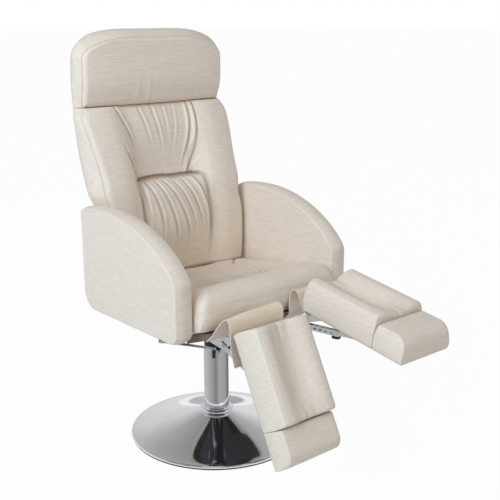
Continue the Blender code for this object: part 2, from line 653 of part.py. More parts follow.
def make_back(back):
    """The back: a bent shell with the tufted cushion and the headrest pad in front of it."""
    rear = [point for point in smooth_path(BACK_REAR) if point[1] <= HEADREST_TOP - SHELL_DROP]
    front = [(y - SHELL_THICKNESS, z) for y, z in reversed(rear)]
    plate("back_shell", [*rear, *front], 0.0, BACK_HALF_WIDTH - BACK_EDGE_RADIUS / 2, LEATHERETTE, back)

    def cushion(s, t, h):
        z = blend(BACK_BOTTOM, BACK_SEAM - FIT, (t + 1) / 2)
        swell = UPPER_SWELL * h * hump(min(z, UPPER_SWELL_TOP), UPPER_SWELL_TOP, UPPER_SWELL_RUN)
        half = BACK_HALF_WIDTH + swell
        x = s * half
        valley = hump(x, 0.0, BACK_VALLEY_HALF * 2)
        y = reading(BACK_FRONT, z) - BACK_CROWN * hump(abs(x), BACK_VALLEY_HALF * 2, BACK_VALLEY_HALF)
        y += TUCK_DEPTH * valley * hump(z, TUCK_HEIGHT, TUCK_SPREAD if z < TUCK_HEIGHT else TUCK_DISH)
        y -= LUMBAR_BULGE * valley * hump(z, LUMBAR_HEIGHT, LUMBAR_SPREAD)
        pleats = math.cos(math.pi * PLEATS * x / BACK_VALLEY_HALF)
        y += PLEAT_DEPTH * hump(x, 0.0, BACK_VALLEY_HALF * 1.3) * pleats
        y += max(fall(half - abs(x), BACK_EDGE_RADIUS), fall(z - BACK_BOTTOM, SEAM_ROUND),
                 fall(BACK_SEAM - z, SEAM_ROUND))
        return Vector((x, blend(shell_front(z) - PADDING_GAP, y, h), z))

    def headrest(s, t, h):
        z = blend(BACK_SEAM + FIT, HEADREST_TOP, (t + 1) / 2)
        corner = max(z - (HEADREST_TOP - HEADREST_CORNER_HEIGHT), 0.0) / HEADREST_CORNER_HEIGHT
        half = HEADREST_HALF_WIDTH - HEADREST_CORNER_WIDTH * (1 - math.sqrt(max(1 - corner ** 2, 0.0)))
        x = s * half
        height = (z - BACK_SEAM) / (HEADREST_TOP - BACK_SEAM)
        crown = (1 - s ** 4) * math.sin(math.pi * min(height + 0.25, 1.0) / 1.6)
        y = HEADREST_FRONT + HEADREST_SET_BACK - HEADREST_CROWN * crown
        y += max(fall(half - abs(x), HEADREST_EDGE_RADIUS), fall(HEADREST_TOP - z, HEADREST_EDGE_RADIUS),
                 fall(z - BACK_SEAM, SEAM_ROUND))
        return Vector((x, blend(shell_front(z) - PADDING_GAP, y, h), z))

    pad("back_cushion", 34, 22, 2, cushion, LEATHERETTE, back)
    pad("headrest_pad", 16, 12, 3, headrest, LEATHERETTE, back)


def make_back_hinges(seat, back):
    """A hinge plate beside each seat rail, and the strap that swings on it behind the shell."""
    y, z = BACK_HINGE
    low = RAIL_BOTTOM + FIT
    high = RAIL_TOP - FIT
    fixed = [(RAIL_REAR / 2, low), (y, low), *arc(BACK_HINGE, BACK_HINGE_EYE, -60, 180, 10),
             (RAIL_REAR - FIT, high), (RAIL_REAR / 2, high)]
    behind = reading(BACK_REAR, STRAP_TOP) + RUNNING
    under = SHELL_BOTTOM - 2 * RUNNING
    swinging = [*arc(BACK_HINGE, BACK_HINGE_EYE, 100, 300, 10), (behind + STRAP_DEPTH, z),
                (behind + STRAP_DEPTH, STRAP_TOP), (behind, STRAP_TOP), (behind, under),
                (y + BACK_HINGE_EYE, under)]
    eye = [circle(BACK_HINGE, HINGE_PIN_RADIUS + FIT)]
    fixed_middle = LEG_MIDDLE + RAIL_WIDTH / 2 + FIT + HINGE_PLATE / 2
    strap_middle = fixed_middle + HINGE_PLATE + RUNNING
    for side, sign in SIDES:
        plate("back_hinge_" + side, fixed, sign * fixed_middle, HINGE_PLATE / 2, STEEL, seat, holes=eye)
        strap = plate("back_strap_" + side, swinging, sign * strap_middle, HINGE_PLATE / 2, STEEL, holes=eye)
        start = sign * (fixed_middle - HINGE_PLATE / 2)
        end = sign * (strap_middle + HINGE_PLATE)
        pin = rod("back_pin_" + side, (start, y, z), (end, y, z), HINGE_PIN_RADIUS, ZINC)
        for piece in (strap, pin):
            hang_on(piece, back)


def hang_on(piece, empty):
    """Parents a piece drawn in the chair's frame to an empty, leaving it in place."""
    piece.parent = empty
    piece.matrix_parent_inverse = Matrix.Translation(-empty.location)


def leg_corner(u, w):
    """A point of a leg rest's side view, in the rest's own frame."""
    return (-u, w)


def make_leg_rest(side, sign, leg, foot):
    """One leg rest: padded board, hinge bracket and pin, and the foot pad on its slide."""
    middle = sign * LEG_MIDDLE
    half = (LEG_OUTER - LEG_INNER) / 2
    pad_end = PAD_START + PAD_LENGTH
    board_top = PAD_UNDERSIDE + LEG_BOARD_THICKNESS
    block("leg_board_" + side, (middle - half, -pad_end, PAD_UNDERSIDE),
          (middle + half, -PAD_START, board_top), PLYWOOD, leg, BOARD_EDGE)

    def padding(start, length, thickness, trough, far_round, near_round):
        def shape(s, t, h):
            u = blend(start, start + length, (t + 1) / 2)
            low = board_top + FIT
            top = PAD_UNDERSIDE + thickness - trough * hump(s, 0.0, TROUGH_SPREAD)
            top -= fall(half * (1 - abs(s)), PAD_EDGE_RADIUS)
            top -= fall(start + length - u, far_round) + fall(u - start, near_round)
            x = middle + s * (half - PAD_SIDE_DRAW * (1 - math.sin(math.pi * h)))
            return Vector((x, -u, blend(low, top, h)))
        return shape

    pad("leg_pad_" + side, 14, 12, 3,
        padding(PAD_START, PAD_LENGTH, PAD_THICKNESS, TROUGH_DEPTH, PAD_EDGE_RADIUS, PAD_EDGE_RADIUS),
        LEATHERETTE, leg)
    foot_end = FOOT_START + FOOT_LENGTH
    block("foot_board_" + side, (middle - half, -foot_end, PAD_UNDERSIDE),
          (middle + half, -FOOT_START, board_top), PLYWOOD, foot, BOARD_EDGE)
    pad("foot_pad_" + side, 10, 8, 3,
        padding(FOOT_START, FOOT_LENGTH, FOOT_THICKNESS, 0.0, FOOT_ROUND, PAD_EDGE_RADIUS / 2),
        LEATHERETTE, foot)
    make_slide(side, middle, leg, foot)
    make_bracket(side, middle, leg)


def make_slide(side, middle, leg, foot):
    """A two-tined slide under the foot board, and the guide under the leg board that it runs in."""
    top = PAD_UNDERSIDE - FIT
    inner = SLIDE_TINE_OFFSET - SLIDE_TINE_WIDTH / 2
    outer = SLIDE_TINE_OFFSET + SLIDE_TINE_WIDTH / 2
    bridge = FOOT_START + SLIDE_TINE_WIDTH
    right_half = [(inner, SLIDE_START), (outer, SLIDE_START), (outer, bridge + SLIDE_BRIDGE)]
    left_half = [(-outer, bridge + SLIDE_BRIDGE), (-outer, SLIDE_START), (-inner, SLIDE_START)]
    fork = [*right_half, *left_half, (-inner, bridge), (inner, bridge)]
    half_thick = SLIDE_THICKNESS / 2
    outline = [(middle + x, -u) for x, u in fork]
    plate("foot_slide_" + side, outline, top - half_thick, half_thick, ZINC, foot, FLAT)
    reach = outer + GUIDE_SIDE
    end = GUIDE_START + GUIDE_LENGTH
    guide = block("slide_guide_" + side, (middle - reach, -end, top - SLIDE_THICKNESS - FIT - GUIDE_FLOOR),
                  (middle + reach, -GUIDE_START, top), ZINC, leg)
    room = 2 * GUIDE_LENGTH
    tine = (SLIDE_TINE_WIDTH / 2, SLIDE_THICKNESS)
    gaps = ((-SLIDE_TINE_OFFSET, *tine), (SLIDE_TINE_OFFSET, *tine), (0.0, BRACKET_HALF, BRACKET_PLATE))
    for number, (offset, half, depth) in enumerate(gaps):
        cutter = block(f"guide_gap_{side}_{number}",
                       (middle + offset - half - FIT, -end - room, top - depth - FIT),
                       (middle + offset + half + FIT, -GUIDE_START + room, top + room), ZINC, leg)
        combine(guide, cutter, "DIFFERENCE")


def make_bracket(side, middle, leg):
    """The hinge bracket under a leg board: a plate with two ears, and the pin for the strut riveted in."""
    top = PAD_UNDERSIDE - FIT
    bracket = block("leg_bracket_" + side, (middle - BRACKET_HALF, -BRACKET_END, top - BRACKET_PLATE),
                    (middle + BRACKET_HALF, -BRACKET_START, top), ZINC, leg)
    seat_line = top - BRACKET_PLATE / 2
    low_line = PAD_UNDERSIDE - FLAP_ROOM
    au, aw = LEG_ANCHOR
    eye_back = [leg_corner(u, w) for u, w in arc((0.0, 0.0), EYE_RADIUS, 90, 270, 8)]
    eye_front = [leg_corner(u, w) for u, w in arc(LEG_ANCHOR, EYE_RADIUS, -90, 0, 5)]
    rise = [leg_corner(au + EYE_RADIUS, seat_line), leg_corner(BRACKET_START + FIT, seat_line),
            leg_corner(BRACKET_START + FIT, low_line), leg_corner(EYE_RADIUS * 2, low_line)]
    outline = [*eye_back, *eye_front, *rise]
    bore = [circle((0.0, 0.0), LEG_PIN_RADIUS + FIT)]
    for number, way in enumerate((-1.0, 1.0)):
        ear = plate(f"bracket_ear_{side}_{number}", outline, middle + way * (EAR_INNER + EAR_THICKNESS / 2),
                    EAR_THICKNESS / 2, ZINC, leg, holes=bore)
        combine(bracket, ear, "UNION")
    reach = EAR_INNER + EAR_THICKNESS + LEG_PIN_RADIUS / 2
    anchor = rod(f"bracket_anchor_{side}", (middle - reach, -au, aw), (middle + reach, -au, aw),
                 STRUT_PIN_RADIUS, ZINC, leg, 16)
    combine(bracket, anchor, "UNION")
    rod("leg_pin_" + side, (middle - reach, 0.0, 0.0), (middle + reach, 0.0, 0.0), LEG_PIN_RADIUS, ZINC, leg)


def make_leg_arm(side, middle, seat):
    """The arm that carries a leg rest's pivot out from its seat rail, with the strut's pin riveted in."""
    rise = LEG_PIVOT[1] - SEAT_ANCHOR[1] - EYE_RADIUS * 2
    tilt = math.degrees(math.atan2(rise, LEG_PIVOT[0] - FRONT_RAIL_CHIN[0]))
    nose = arc(LEG_PIVOT, EYE_RADIUS, tilt - 90, tilt + 90, 8)
    lug = arc(SEAT_ANCHOR, EYE_RADIUS, 160, 290, 8)
    top = RAIL_BOTTOM - FIT
    chin = (FRONT_RAIL_CHIN[0] + EYE_RADIUS, FRONT_RAIL_CHIN[1] - EYE_RADIUS)
    under = (chin[0] - EYE_RADIUS, chin[1] - LEG_ARM_DEPTH)
    outline = [(LEG_ARM_REAR, top), (RAIL_FRONT, top), chin, *nose, under, *lug,
               (LEG_ARM_REAR, top - LEG_ARM_DEPTH / 2)]
    arm = plate("leg_arm_" + side, outline, middle, LEG_ARM_HALF, ZINC, seat,
                holes=[circle(LEG_PIVOT, LEG_PIN_RADIUS + FIT)])
    reach = EAR_INNER + CHANNEL_WALL + STRUT_PIN_RADIUS / 2
    y, z = SEAT_ANCHOR
    pin = rod(f"arm_anchor_{side}", (middle - reach, y, z), (middle + reach, y, z), STRUT_PIN_RADIUS, ZINC,
              seat, 16)
    combine(arm, pin, "UNION")


def make_strut(side, middle, strut, bar, length):
    """The ratchet strut: a slotted channel on the seat's pin and the bar that slides out of it to the leg."""
    outer = EAR_INNER + CHANNEL_WALL
    tail = EYE_RADIUS
    tall = CHANNEL_HALF_HEIGHT
    channel = block("strut_channel_" + side, (middle - outer, -CHANNEL_LENGTH, -tall),
                    (middle + outer, tail, tall), ZINC, strut)
    web_start = EYE_RADIUS + CHANNEL_WALL
    trough = block("channel_trough_" + side,
                   (middle - EAR_INNER, -CHANNEL_LENGTH - tail, -tall + CHANNEL_WALL),
                   (middle + EAR_INNER, 2 * tail, 2 * tall), ZINC, strut)
    throat = block("channel_throat_" + side, (middle - EAR_INNER, -web_start, -2 * tall),
                   (middle + EAR_INNER, 2 * tail, 2 * tall), ZINC, strut)
    combine(channel, trough, "DIFFERENCE")
    combine(channel, throat, "DIFFERENCE")
    bore = rod("channel_bore_" + side, (middle - 2 * outer, 0.0, 0.0), (middle + 2 * outer, 0.0, 0.0),
               STRUT_PIN_RADIUS + FIT, ZINC, strut, 16)
    combine(channel, bore, "DIFFERENCE")
    long, high = CHANNEL_SLOT
    for number in range(CHANNEL_SLOTS):
        start = CHANNEL_SLOT_START + number * CHANNEL_SLOT_PITCH
        slot = block(f"channel_slot_{side}_{number}", (middle - 2 * outer, -start - long, -high / 2),
                     (middle + 2 * outer, -start, high / 2), ZINC, strut)
        combine(channel, slot, "DIFFERENCE")
    block("strut_latch_" + side, (middle - outer, -CHANNEL_LENGTH, -tall - FIT - LATCH_HEIGHT),
          (middle + outer, -CHANNEL_LENGTH + LATCH_LENGTH, -tall - FIT), PLASTIC, strut, MOULDED_EDGE)
    start = length - BAR_LENGTH
    end = length + BAR_OVERHANG
    h = BAR_HALF_HEIGHT
    slot_half = STRUT_PIN_RADIUS + FIT
    far = [leg_corner(u, w) for u, w in arc((length + BAR_SLOT / 2 - slot_half, 0.0), slot_half, -90, 90)]
    near = [leg_corner(u, w) for u, w in arc((length - BAR_SLOT / 2 + slot_half, 0.0), slot_half, 90, 270)]
    outline = [leg_corner(start, -h), leg_corner(end, -h), leg_corner(end, h), leg_corner(start, h)]
    plate("strut_bar_" + side, outline, middle, LEG_ARM_HALF, ZINC, bar, holes=[[*far, *near]])


def make_flap(side, middle, seat):
    """A leatherette flap: from the front rail's face over a loop, with a notch that clears the hinge."""
    nose = Vector(FRONT_RAIL_NOSE)
    chin = Vector(FRONT_RAIL_CHIN)
    face = (nose - chin).normalized()
    outward = Vector((-face.y, face.x)) * (FLAP_THICKNESS / 2 + 2 * FIT)
    start = tuple((nose + chin) / 2 + outward)
    turn_up = tuple(nose + outward - face * FIT)
    path = smooth_path([start, turn_up, *FLAP_LINES[side]], 4)
    above = []
    below = []
    for k, (y, z) in enumerate(path):
        before = Vector(path[max(k - 1, 0)])
        after = Vector(path[min(k + 1, len(path) - 1)])
        way = (after - before).normalized() * FLAP_THICKNESS / 2
        above.append((y - way.y, z + way.x))
        below.append((y + way.y, z - way.x))
    half = (LEG_OUTER - LEG_INNER) / 2 - FLAP_THICKNESS / 2
    flap = plate("flap_" + side, [*above, *reversed(below)], middle, half, LEATHERETTE, seat)
    notch = block("flap_notch_" + side, (middle - NOTCH_HALF_WIDTH, *NOTCH_FAR),
                  (middle + NOTCH_HALF_WIDTH, *NOTCH_EDGE[side]), LEATHERETTE, seat)
    combine(flap, notch, "DIFFERENCE")


def make_chair():
    """Every piece, each on the empty of the body that it moves with."""
    spindle = pivot("spindle_axis", (0.0, 0.0, 0.0))
    seat = pivot("seat_axis", (0.0, 0.0, 0.0), parent=spindle)
    lever = pivot("lever_axis", LEVER_START, parent=seat)
    back = pivot("back_axis", (0.0, *BACK_HINGE), parent=seat)
    bearing_top, bearing_bottom = make_base()
    make_lift(spindle, seat, bearing_top, bearing_bottom)
    make_mechanism(seat, lever)
    make_seat_frame(seat)
    make_seat_cushion(seat)
    make_arms(seat)
    make_back(None)
    for name in ("back_shell", "back_cushion", "headrest_pad"):
        hang_on(bpy.data.objects[name], back)
    make_back_hinges(seat, back)
    for (side, sign), angle in zip(SIDES, (LEFT_LEG_ANGLE, RIGHT_LEG_ANGLE)):
        middle = sign * LEG_MIDDLE
        leg = pivot("leg_axis_" + side, (0.0, *LEG_PIVOT), angle, seat)
        foot = pivot("foot_axis_" + side, (0.0, 0.0, 0.0), parent=leg)
        make_leg_rest(side, sign, leg, foot)
        make_leg_arm(side, middle, seat)
        reach = math.radians(angle + STRUT_LEG_ANGLE)
        anchor = Vector(LEG_PIVOT) - STRUT_REACH * Vector((math.cos(reach), math.sin(reach)))
        span = Vector(SEAT_ANCHOR) - anchor
        slope = math.degrees(math.atan2(span.y, span.x))
        strut = pivot("strut_axis_" + side, (0.0, *SEAT_ANCHOR), slope, seat)
        bar = pivot("bar_axis_" + side, (0.0, 0.0, 0.0), parent=strut)
        make_strut(side, middle, strut, bar, span.length)
        make_flap(side, middle, seat)


make_chair()
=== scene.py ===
"""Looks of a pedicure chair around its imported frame: leatherette, chrome, zinc plate and board.

Metres, +Z up. The origin is the centre of the base on the floor. The sitter faces -Y, with +X on their left.
"""

import json
import math

import bmesh
import bpy
import numpy as np
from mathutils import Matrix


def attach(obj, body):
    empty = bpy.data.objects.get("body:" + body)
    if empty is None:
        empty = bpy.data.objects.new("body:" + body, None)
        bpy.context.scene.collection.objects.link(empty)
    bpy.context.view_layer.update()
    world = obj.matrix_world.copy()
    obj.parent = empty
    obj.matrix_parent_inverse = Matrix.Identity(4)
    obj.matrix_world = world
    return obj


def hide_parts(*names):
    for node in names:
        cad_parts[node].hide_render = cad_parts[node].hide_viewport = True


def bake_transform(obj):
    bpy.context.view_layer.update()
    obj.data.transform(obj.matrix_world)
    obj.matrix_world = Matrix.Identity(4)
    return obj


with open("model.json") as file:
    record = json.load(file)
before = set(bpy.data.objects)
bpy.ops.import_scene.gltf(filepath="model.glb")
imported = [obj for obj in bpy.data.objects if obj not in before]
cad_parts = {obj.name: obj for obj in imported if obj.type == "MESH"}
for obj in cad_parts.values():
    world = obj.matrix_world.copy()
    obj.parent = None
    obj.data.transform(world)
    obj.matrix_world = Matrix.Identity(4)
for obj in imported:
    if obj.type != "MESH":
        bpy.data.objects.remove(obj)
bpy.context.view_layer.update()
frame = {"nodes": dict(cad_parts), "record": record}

SIDES = (("left", 1.0), ("right", -1.0))

# Camera, fitted to the photo's frame
CAMERA_PLACE = (-1.488, -1.889, 1.185)
CAMERA_AZIMUTH = -40.56
CAMERA_DIP = 14.87
CAMERA_LENS = 63.92
CAMERA_SENSOR = 36.0

# Lamps: name, place, aim, size, power and colour
LAMPS = (("key_box", (-5.2, -1.25, 3.6), (0.0, 0.0, 0.6), 3.0, 176.0, (0.885, 1.015, 1.20)),
         ("top_box", (-0.6, -0.8, 2.3), (0.0, 0.0, 0.6), 1.2, 6.3, (1.0, 0.98, 0.96)),
         ("fill_box", (0.4, -3.0, 0.9), (0.0, 0.0, 0.5), 1.6, 4.5, (1.0, 0.97, 0.94)))
ROOM_LIGHT = 0.30
FLOOR_GLOW = 0.965
FLOOR_REACH = 60.0
FLOOR_HEIGHT = -0.0005

# What the chrome sees: the floor's and the room's (degrees round the chair, share), and the room's
# (radius, height, grey)
FLOOR_SHARES = ((52.0, 0.50), (120.0, 0.58), (158.0, 0.50), (185.0, 0.40), (214.0, 0.34), (225.0, 0.22),
                (236.0, 0.32), (260.0, 0.46), (320.0, 0.40), (345.0, 0.22), (375.0, 0.18), (412.0, 0.50))
ROOM_EDGES = ((2.6, 0.12, 0.84), (2.5, 0.9, 0.80), (2.35, 1.9, 0.46), (1.9, 2.7, 0.34), (0.8, 3.4, 0.34))
ROOM_SHARES = ((-40.0, 1.15), (20.0, 1.05), (70.0, 0.92), (105.0, 1.10), (135.0, 1.15), (200.0, 1.0))
CARD_STEPS = 129

# Edges sharper than these angles show as edges
TURNED_SHARP = math.radians(40)
FLAP_SHARP = math.radians(60)
FRAME_SHARP = math.radians(34)

# Base and column
FIT_GAP = 0.0003
BASE_RADIUS = 0.25
RIM_TRIM_INSET = 0.0012
RIM_TRIM_HEIGHT = 0.005
TRIM_LIP = 0.002
TRIM_DRAFT = 0.001
FLOOR_PLATE_RADIUS = 0.226
COVER_RIM_BOTTOM = 0.0053
COVER_RIM_TOP = 0.0113
COVER_TOP = 0.066
COVER_FLARE = 1.25
COVER_WALL = 0.002
COVER_LIP = 0.004
COLUMN_RADIUS = 0.0355
COLUMN_WALL = 0.0035
COLUMN_FOOT = 0.0083
COLUMN_TOP = 0.262
COLUMN_LIP = 0.0015
COLLAR_RADIUS = 0.0475
COLLAR_FLANGE = 0.010
COLLAR_NECK_RADIUS = 0.0395
COLLAR_TOP = 0.0793
COLLAR_LIP = 0.002
TUBE_RADIUS = 0.0253
TUBE_BOTTOM = 0.075
TUBE_TOP = 0.33
TUBE_BORE = 0.012
TUBE_BORE_TOP = 0.252
TURNED_STEPS = 160
WELD_DISTANCE = 1e-6

# Padded pieces: the share of their depth where the outer face begins, how strong the painted shade at joins
# and sewn lines is, and how wide a sewn line is and how far it sinks
FACE_FROM = 0.99
JOIN_PAINTED_SHADE = 0.9
SEWN_PAINTED_SHADE = 0.18
SEWN_WIDTH = 0.0017
SEWN_DEPTH = 0.0009

# Back and headrest
BACK_HALF_WIDTH = 0.243
BACK_BOTTOM = 0.432
SEAT_JOIN = 0.450
BACK_SEAM = 0.9345
BACK_FRONT = ((0.178, 0.440), (0.172, 0.535), (0.182, 0.685), (0.213, 0.784), (0.248, 0.873), (0.284, 0.940))
BACK_REAR = ((0.235, 0.440), (0.236, 0.560), (0.250, 0.670), (0.276, 0.740), (0.300, 0.810), (0.318, 0.900),
             (0.326, 0.990), (0.323, 1.060), (0.315, 1.110), (0.306, 1.146))
SHELL_BOTTOM = 0.440
SHELL_TOP = 1.076
SHELL_THICKNESS = 0.012
SHELL_GAP = 0.0012
SEAM_GAP = 0.0004
SEAM_SHARE = 0.95
ABOVE_ARMS = (0.655, 0.705)
PANEL_REAR_HALF = 0.238
PANEL_MARGIN = 0.010
PANEL_FULL = 0.004
PANEL_EDGE_RADIUS = 0.009
BOLSTER_PLACE = 0.178
BOLSTER_SPREAD = 0.085
BOLSTER_CROWN = 0.021
BACK_EDGE_RADIUS = 0.012
BACK_TAPER = 0.016
TUCK_HEIGHT = 0.728
TUCK_DEPTH = 0.038
TUCK_WIDTH = 0.0042
TUCK_WOBBLE = 0.0035
TUCK_ROUND = 0.045
ROLL_LIFT = 0.004
PANEL_HALF_WIDTH = 0.112
PLEATED_HALF = 0.152
LUMBAR_CROWN = 0.024
LUMBAR_PLACE = 0.61
LUMBAR_SPREAD = 0.15
UPPER_SWELL = 0.0075
FOLD_RIDGE = 0.0058
FOLD_VALLEY = 0.0036
FOLD_STEP = 0.0085
# How strongly a pleat's valley is painted with shade, per metre of the pleat's height
FOLD_PAINTED_SHADE = 130.0
# Each fold: three places (x, z) from its top down, its height, which side its valley lies, and its loose end
FOLDS = (
    (((-0.136, 0.931), (-0.118, 0.886), (-0.083, 0.803)), 0.0052, 1, "low"),
    (((-0.140, 0.840), (-0.121, 0.782), (-0.101, 0.736)), 0.0050, 1, "high"),
    (((-0.054, 0.926), (-0.040, 0.862), (-0.030, 0.815)), 0.0030, 1, "low"),
    (((-0.008, 0.930), (-0.002, 0.864), (0.010, 0.805)), 0.0034, 1, "low"),
    (((0.030, 0.926), (0.029, 0.861), (0.027, 0.822)), 0.0016, 1, "low"),
    (((0.066, 0.926), (0.053, 0.850), (0.032, 0.769)), 0.0016, 1, "low"),
    (((0.104, 0.931), (0.096, 0.860), (0.050, 0.738)), 0.0042, -1, "low"),
    (((0.122, 0.931), (0.112, 0.837), (0.072, 0.730)), 0.0050, -1, "none"),
    (((0.134, 0.862), (0.110, 0.800), (0.084, 0.734)), 0.0026, 1, "high"),
    (((0.130, 0.790), (0.107, 0.757), (0.090, 0.733)), 0.0018, 1, "high"),
    (((-0.121, 0.722), (-0.112, 0.665), (-0.103, 0.590)), 0.0050, 1, "none"),
    (((-0.101, 0.722), (-0.100, 0.668), (-0.096, 0.590)), 0.0040, 1, "low"),
    (((-0.084, 0.722), (-0.068, 0.668), (-0.057, 0.555)), 0.0048, 1, "low"),
    (((-0.052, 0.722), (-0.029, 0.658), (-0.006, 0.520)), 0.0048, 1, "low"),
    (((-0.024, 0.722), (0.010, 0.649), (0.040, 0.520)), 0.0048, 1, "low"),
    (((0.008, 0.722), (0.036, 0.659), (0.060, 0.565)), 0.0040, 1, "low"),
    (((0.040, 0.722), (0.067, 0.655), (0.090, 0.565)), 0.0044, 1, "low"),
    (((0.072, 0.722), (0.094, 0.656), (0.112, 0.510)), 0.0046, -1, "low"))
HEADREST_TOP = 1.146
HEADREST_FRONT = 0.262
HEADREST_CROWN = 0.012
HEADREST_TUCK = 0.014
HEADREST_TAPER = 0.014
HEADREST_TOP_TAPER = 0.024
HEADREST_CORNER = (0.19, 0.085)
CORNER_POWER = 2.6
HEADREST_HALF_WIDTH = 0.2545

# Seat and arms
SEAT_HALF_WIDTH = 0.2445
SEAT_FRONT = -0.246
SEAT_REAR = 0.174
SEAT_TOP = 0.508
SEAT_SLOPE = 0.058
SEAT_CROWN = 0.007
SEAT_FRONT_RADIUS = 0.036
SEAT_CREASE = -0.138
CREASE_DEPTH = 0.009
ROLL_PLACE = -0.186
ROLL_SPREAD = 0.080
ROLL_CROWN = 0.019
CLUSTER_PITCH = 0.098
GATHER_PITCH = 0.019
GATHER_DEPTH = 0.0045
REAR_PITCH = 0.040
REAR_DEPTH = 0.0020
SEAT_TUCK_CORNER = (0.200, 0.155)
SEAT_TUCK_WAY = (0.68, 0.73)
SEAT_TUCK_DEPTH = 0.004
SEAT_UNDER = 0.4047
SEAT_UNDER_FRONT = 0.4237
SEAT_UNDER_BREAK = -0.186
SEAT_UNDER_RUN = 0.06
ARM_INNER = 0.2487
ARM_THICKNESS = 0.0533
ARM_BOTTOM = 0.390
ARM_REAR = 0.215
ARM_FRONT = -0.2215
ARM_TOE = 0.007
ARM_FRONT_TOP = 0.546
ARM_CREST = (0.098, 0.690)
ARM_ARCH = 1.5
ARM_REAR_TOP = 0.668
ARM_REAR_RADIUS = 0.055
ARM_FRONT_RADIUS = 0.030
ARM_ROUND = 0.055
ARM_EASE = 0.005
ARM_RIM = 0.004
ARM_MIDDLE = (0.0, 0.515)
ARM_SWELL = 0.0012
ARM_SEWN = 0.0012

# Leg rests, each in its own frame: u runs out along the rest, w up from its pivot
LEG_PIVOT = (-0.3305, 0.4125)
LEG_ANGLES = {"left": 8.68, "right": 62.72}
LEG_MIDDLE = 0.13055
LEG_HALF_WIDTH = 0.08695
PAD_START = -0.0192
PAD_LENGTH = 0.2383
PAD_UNDERSIDE = 0.023
PAD_THICKNESS = 0.0884
PAD_EDGE_RADIUS = 0.012
PAD_SEWN_INSET = 0.0085
PAD_SWELL = 0.0055
FOOT_START = 0.2225
FOOT_LENGTH = 0.0904
FOOT_THICKNESS = 0.0692
FOOT_EDGE_RADIUS = 0.010
FOOT_FAR_RADIUS = 0.032
FOOT_SEWN_INSET = 0.0080
FOOT_SWELL = 0.0045
TROUGH_DEPTH = 0.026

# Flaps
FLAP_THICKNESS = 0.0022
FLAP_HALF_WIDTH = LEG_HALF_WIDTH - 0.0015
FLAP_LINES = {
    "left": ((-0.2345, 0.3945), (-0.2465, 0.4058), (-0.2582, 0.4178), (-0.2590, 0.4400), (-0.2610, 0.4620),
             (-0.2655, 0.4760), (-0.2750, 0.4835), (-0.2855, 0.4805), (-0.2960, 0.4650), (-0.3080, 0.4430),
             (-0.3270, 0.4260), (-0.3470, 0.4180), (-0.3700, 0.4110)),
    "right": ((-0.2345, 0.3945), (-0.2465, 0.4058), (-0.2582, 0.4190), (-0.2690, 0.4380), (-0.2850, 0.4600),
              (-0.3010, 0.4740), (-0.3160, 0.4785), (-0.3265, 0.4690), (-0.3300, 0.4480), (-0.3310, 0.4140),
              (-0.3340, 0.3890), (-0.3410, 0.3660), (-0.3440, 0.3570))}
FLAP_POINTS = 241
FLAP_LEAN = {"left": 0.004, "right": 0.006}
FLAP_RIPPLE = 0.0012
NOTCH_HALF_WIDTH = 0.017
NOTCH_TOP = {"left": 0.708, "right": 0.715}
FLAP_END = {"left": 0.80, "right": 1.0}


def wire(tree, pairs):
    """Links node sockets, each pair from an output to an input."""
    for start, end in pairs:
        tree.links.new(start, end)


def new_node(tree, kind, operation=None, group=None, **values):
    """A shader node with its operation or group and its inputs' values; _ stands for a space in a name."""
    node = tree.nodes.new("ShaderNode" + kind)
    if operation:
        node.operation = operation
    if group:
        node.node_tree = group
    for label, value in values.items():
        node.inputs[label.replace("_", " ")].default_value = value
    return node


def effect_group(name, inputs, outputs):
    """An empty shader node group: numbers go in, each with a usual value, and named numbers come out."""
    group = bpy.data.node_groups.new(name, "ShaderNodeTree")
    for label, value in inputs:
        socket = group.interface.new_socket(label, in_out="INPUT", socket_type="NodeSocketFloat")
        socket.default_value = value
    for label in outputs:
        group.interface.new_socket(label, in_out="OUTPUT", socket_type="NodeSocketFloat")
    return group, group.nodes.new("NodeGroupInput"), group.nodes.new("NodeGroupOutput")


def crosswise_grain():
    """Embossed leatherette grain: noise drawn out sideways, so that its creases lie level on every face.

    Faces that look sideways take the noise drawn out along Y, and all others the noise drawn out along X.
    """
    group, given, put_out = effect_group("crosswise_grain", [("Pitch", 210.0), ("Stretch", 0.09)],
                                         ["Crease", "Cloud"])
    coords = new_node(group, "TexCoord")
    facing = new_node(group, "SeparateXYZ")
    sideways = new_node(group, "Math", "ABSOLUTE")
    mask = new_node(group, "MapRange", From_Min=0.62, From_Max=0.80)
    mask.interpolation_type = "SMOOTHSTEP"
    drawn = new_node(group, "Math", "MULTIPLY")
    wire(group, [(coords.outputs["Normal"], facing.inputs[0]), (facing.outputs["X"], sideways.inputs[0]),
                 (sideways.outputs[0], mask.inputs["Value"]), (given.outputs["Pitch"], drawn.inputs[0]),
                 (given.outputs["Stretch"], drawn.inputs[1])])
    creases = []
    for along in (0, 1):
        scale = new_node(group, "CombineXYZ")
        for axis in range(3):
            source = drawn.outputs[0] if axis == along else given.outputs["Pitch"]
            wire(group, [(source, scale.inputs[axis])])
        stretched = new_node(group, "VectorMath", "MULTIPLY")
        noise = new_node(group, "TexNoise", Scale=1.0, Detail=3.0, Roughness=0.62, Distortion=0.35)
        wire(group, [(coords.outputs["Object"], stretched.inputs[0]), (scale.outputs[0], stretched.inputs[1]),
                     (stretched.outputs[0], noise.inputs["Vector"])])
        creases.append(noise.outputs["Fac"])
    chosen = new_node(group, "Mix")
    cloud = new_node(group, "TexNoise", Scale=9.0, Detail=2.0)
    wire(group, [(mask.outputs[0], chosen.inputs["Factor"]), (creases[0], chosen.inputs["A"]),
                 (creases[1], chosen.inputs["B"]), (coords.outputs["Object"], cloud.inputs["Vector"]),
                 (chosen.outputs["Result"], put_out.inputs["Crease"]),
                 (cloud.outputs["Fac"], put_out.inputs["Cloud"])])
    return group


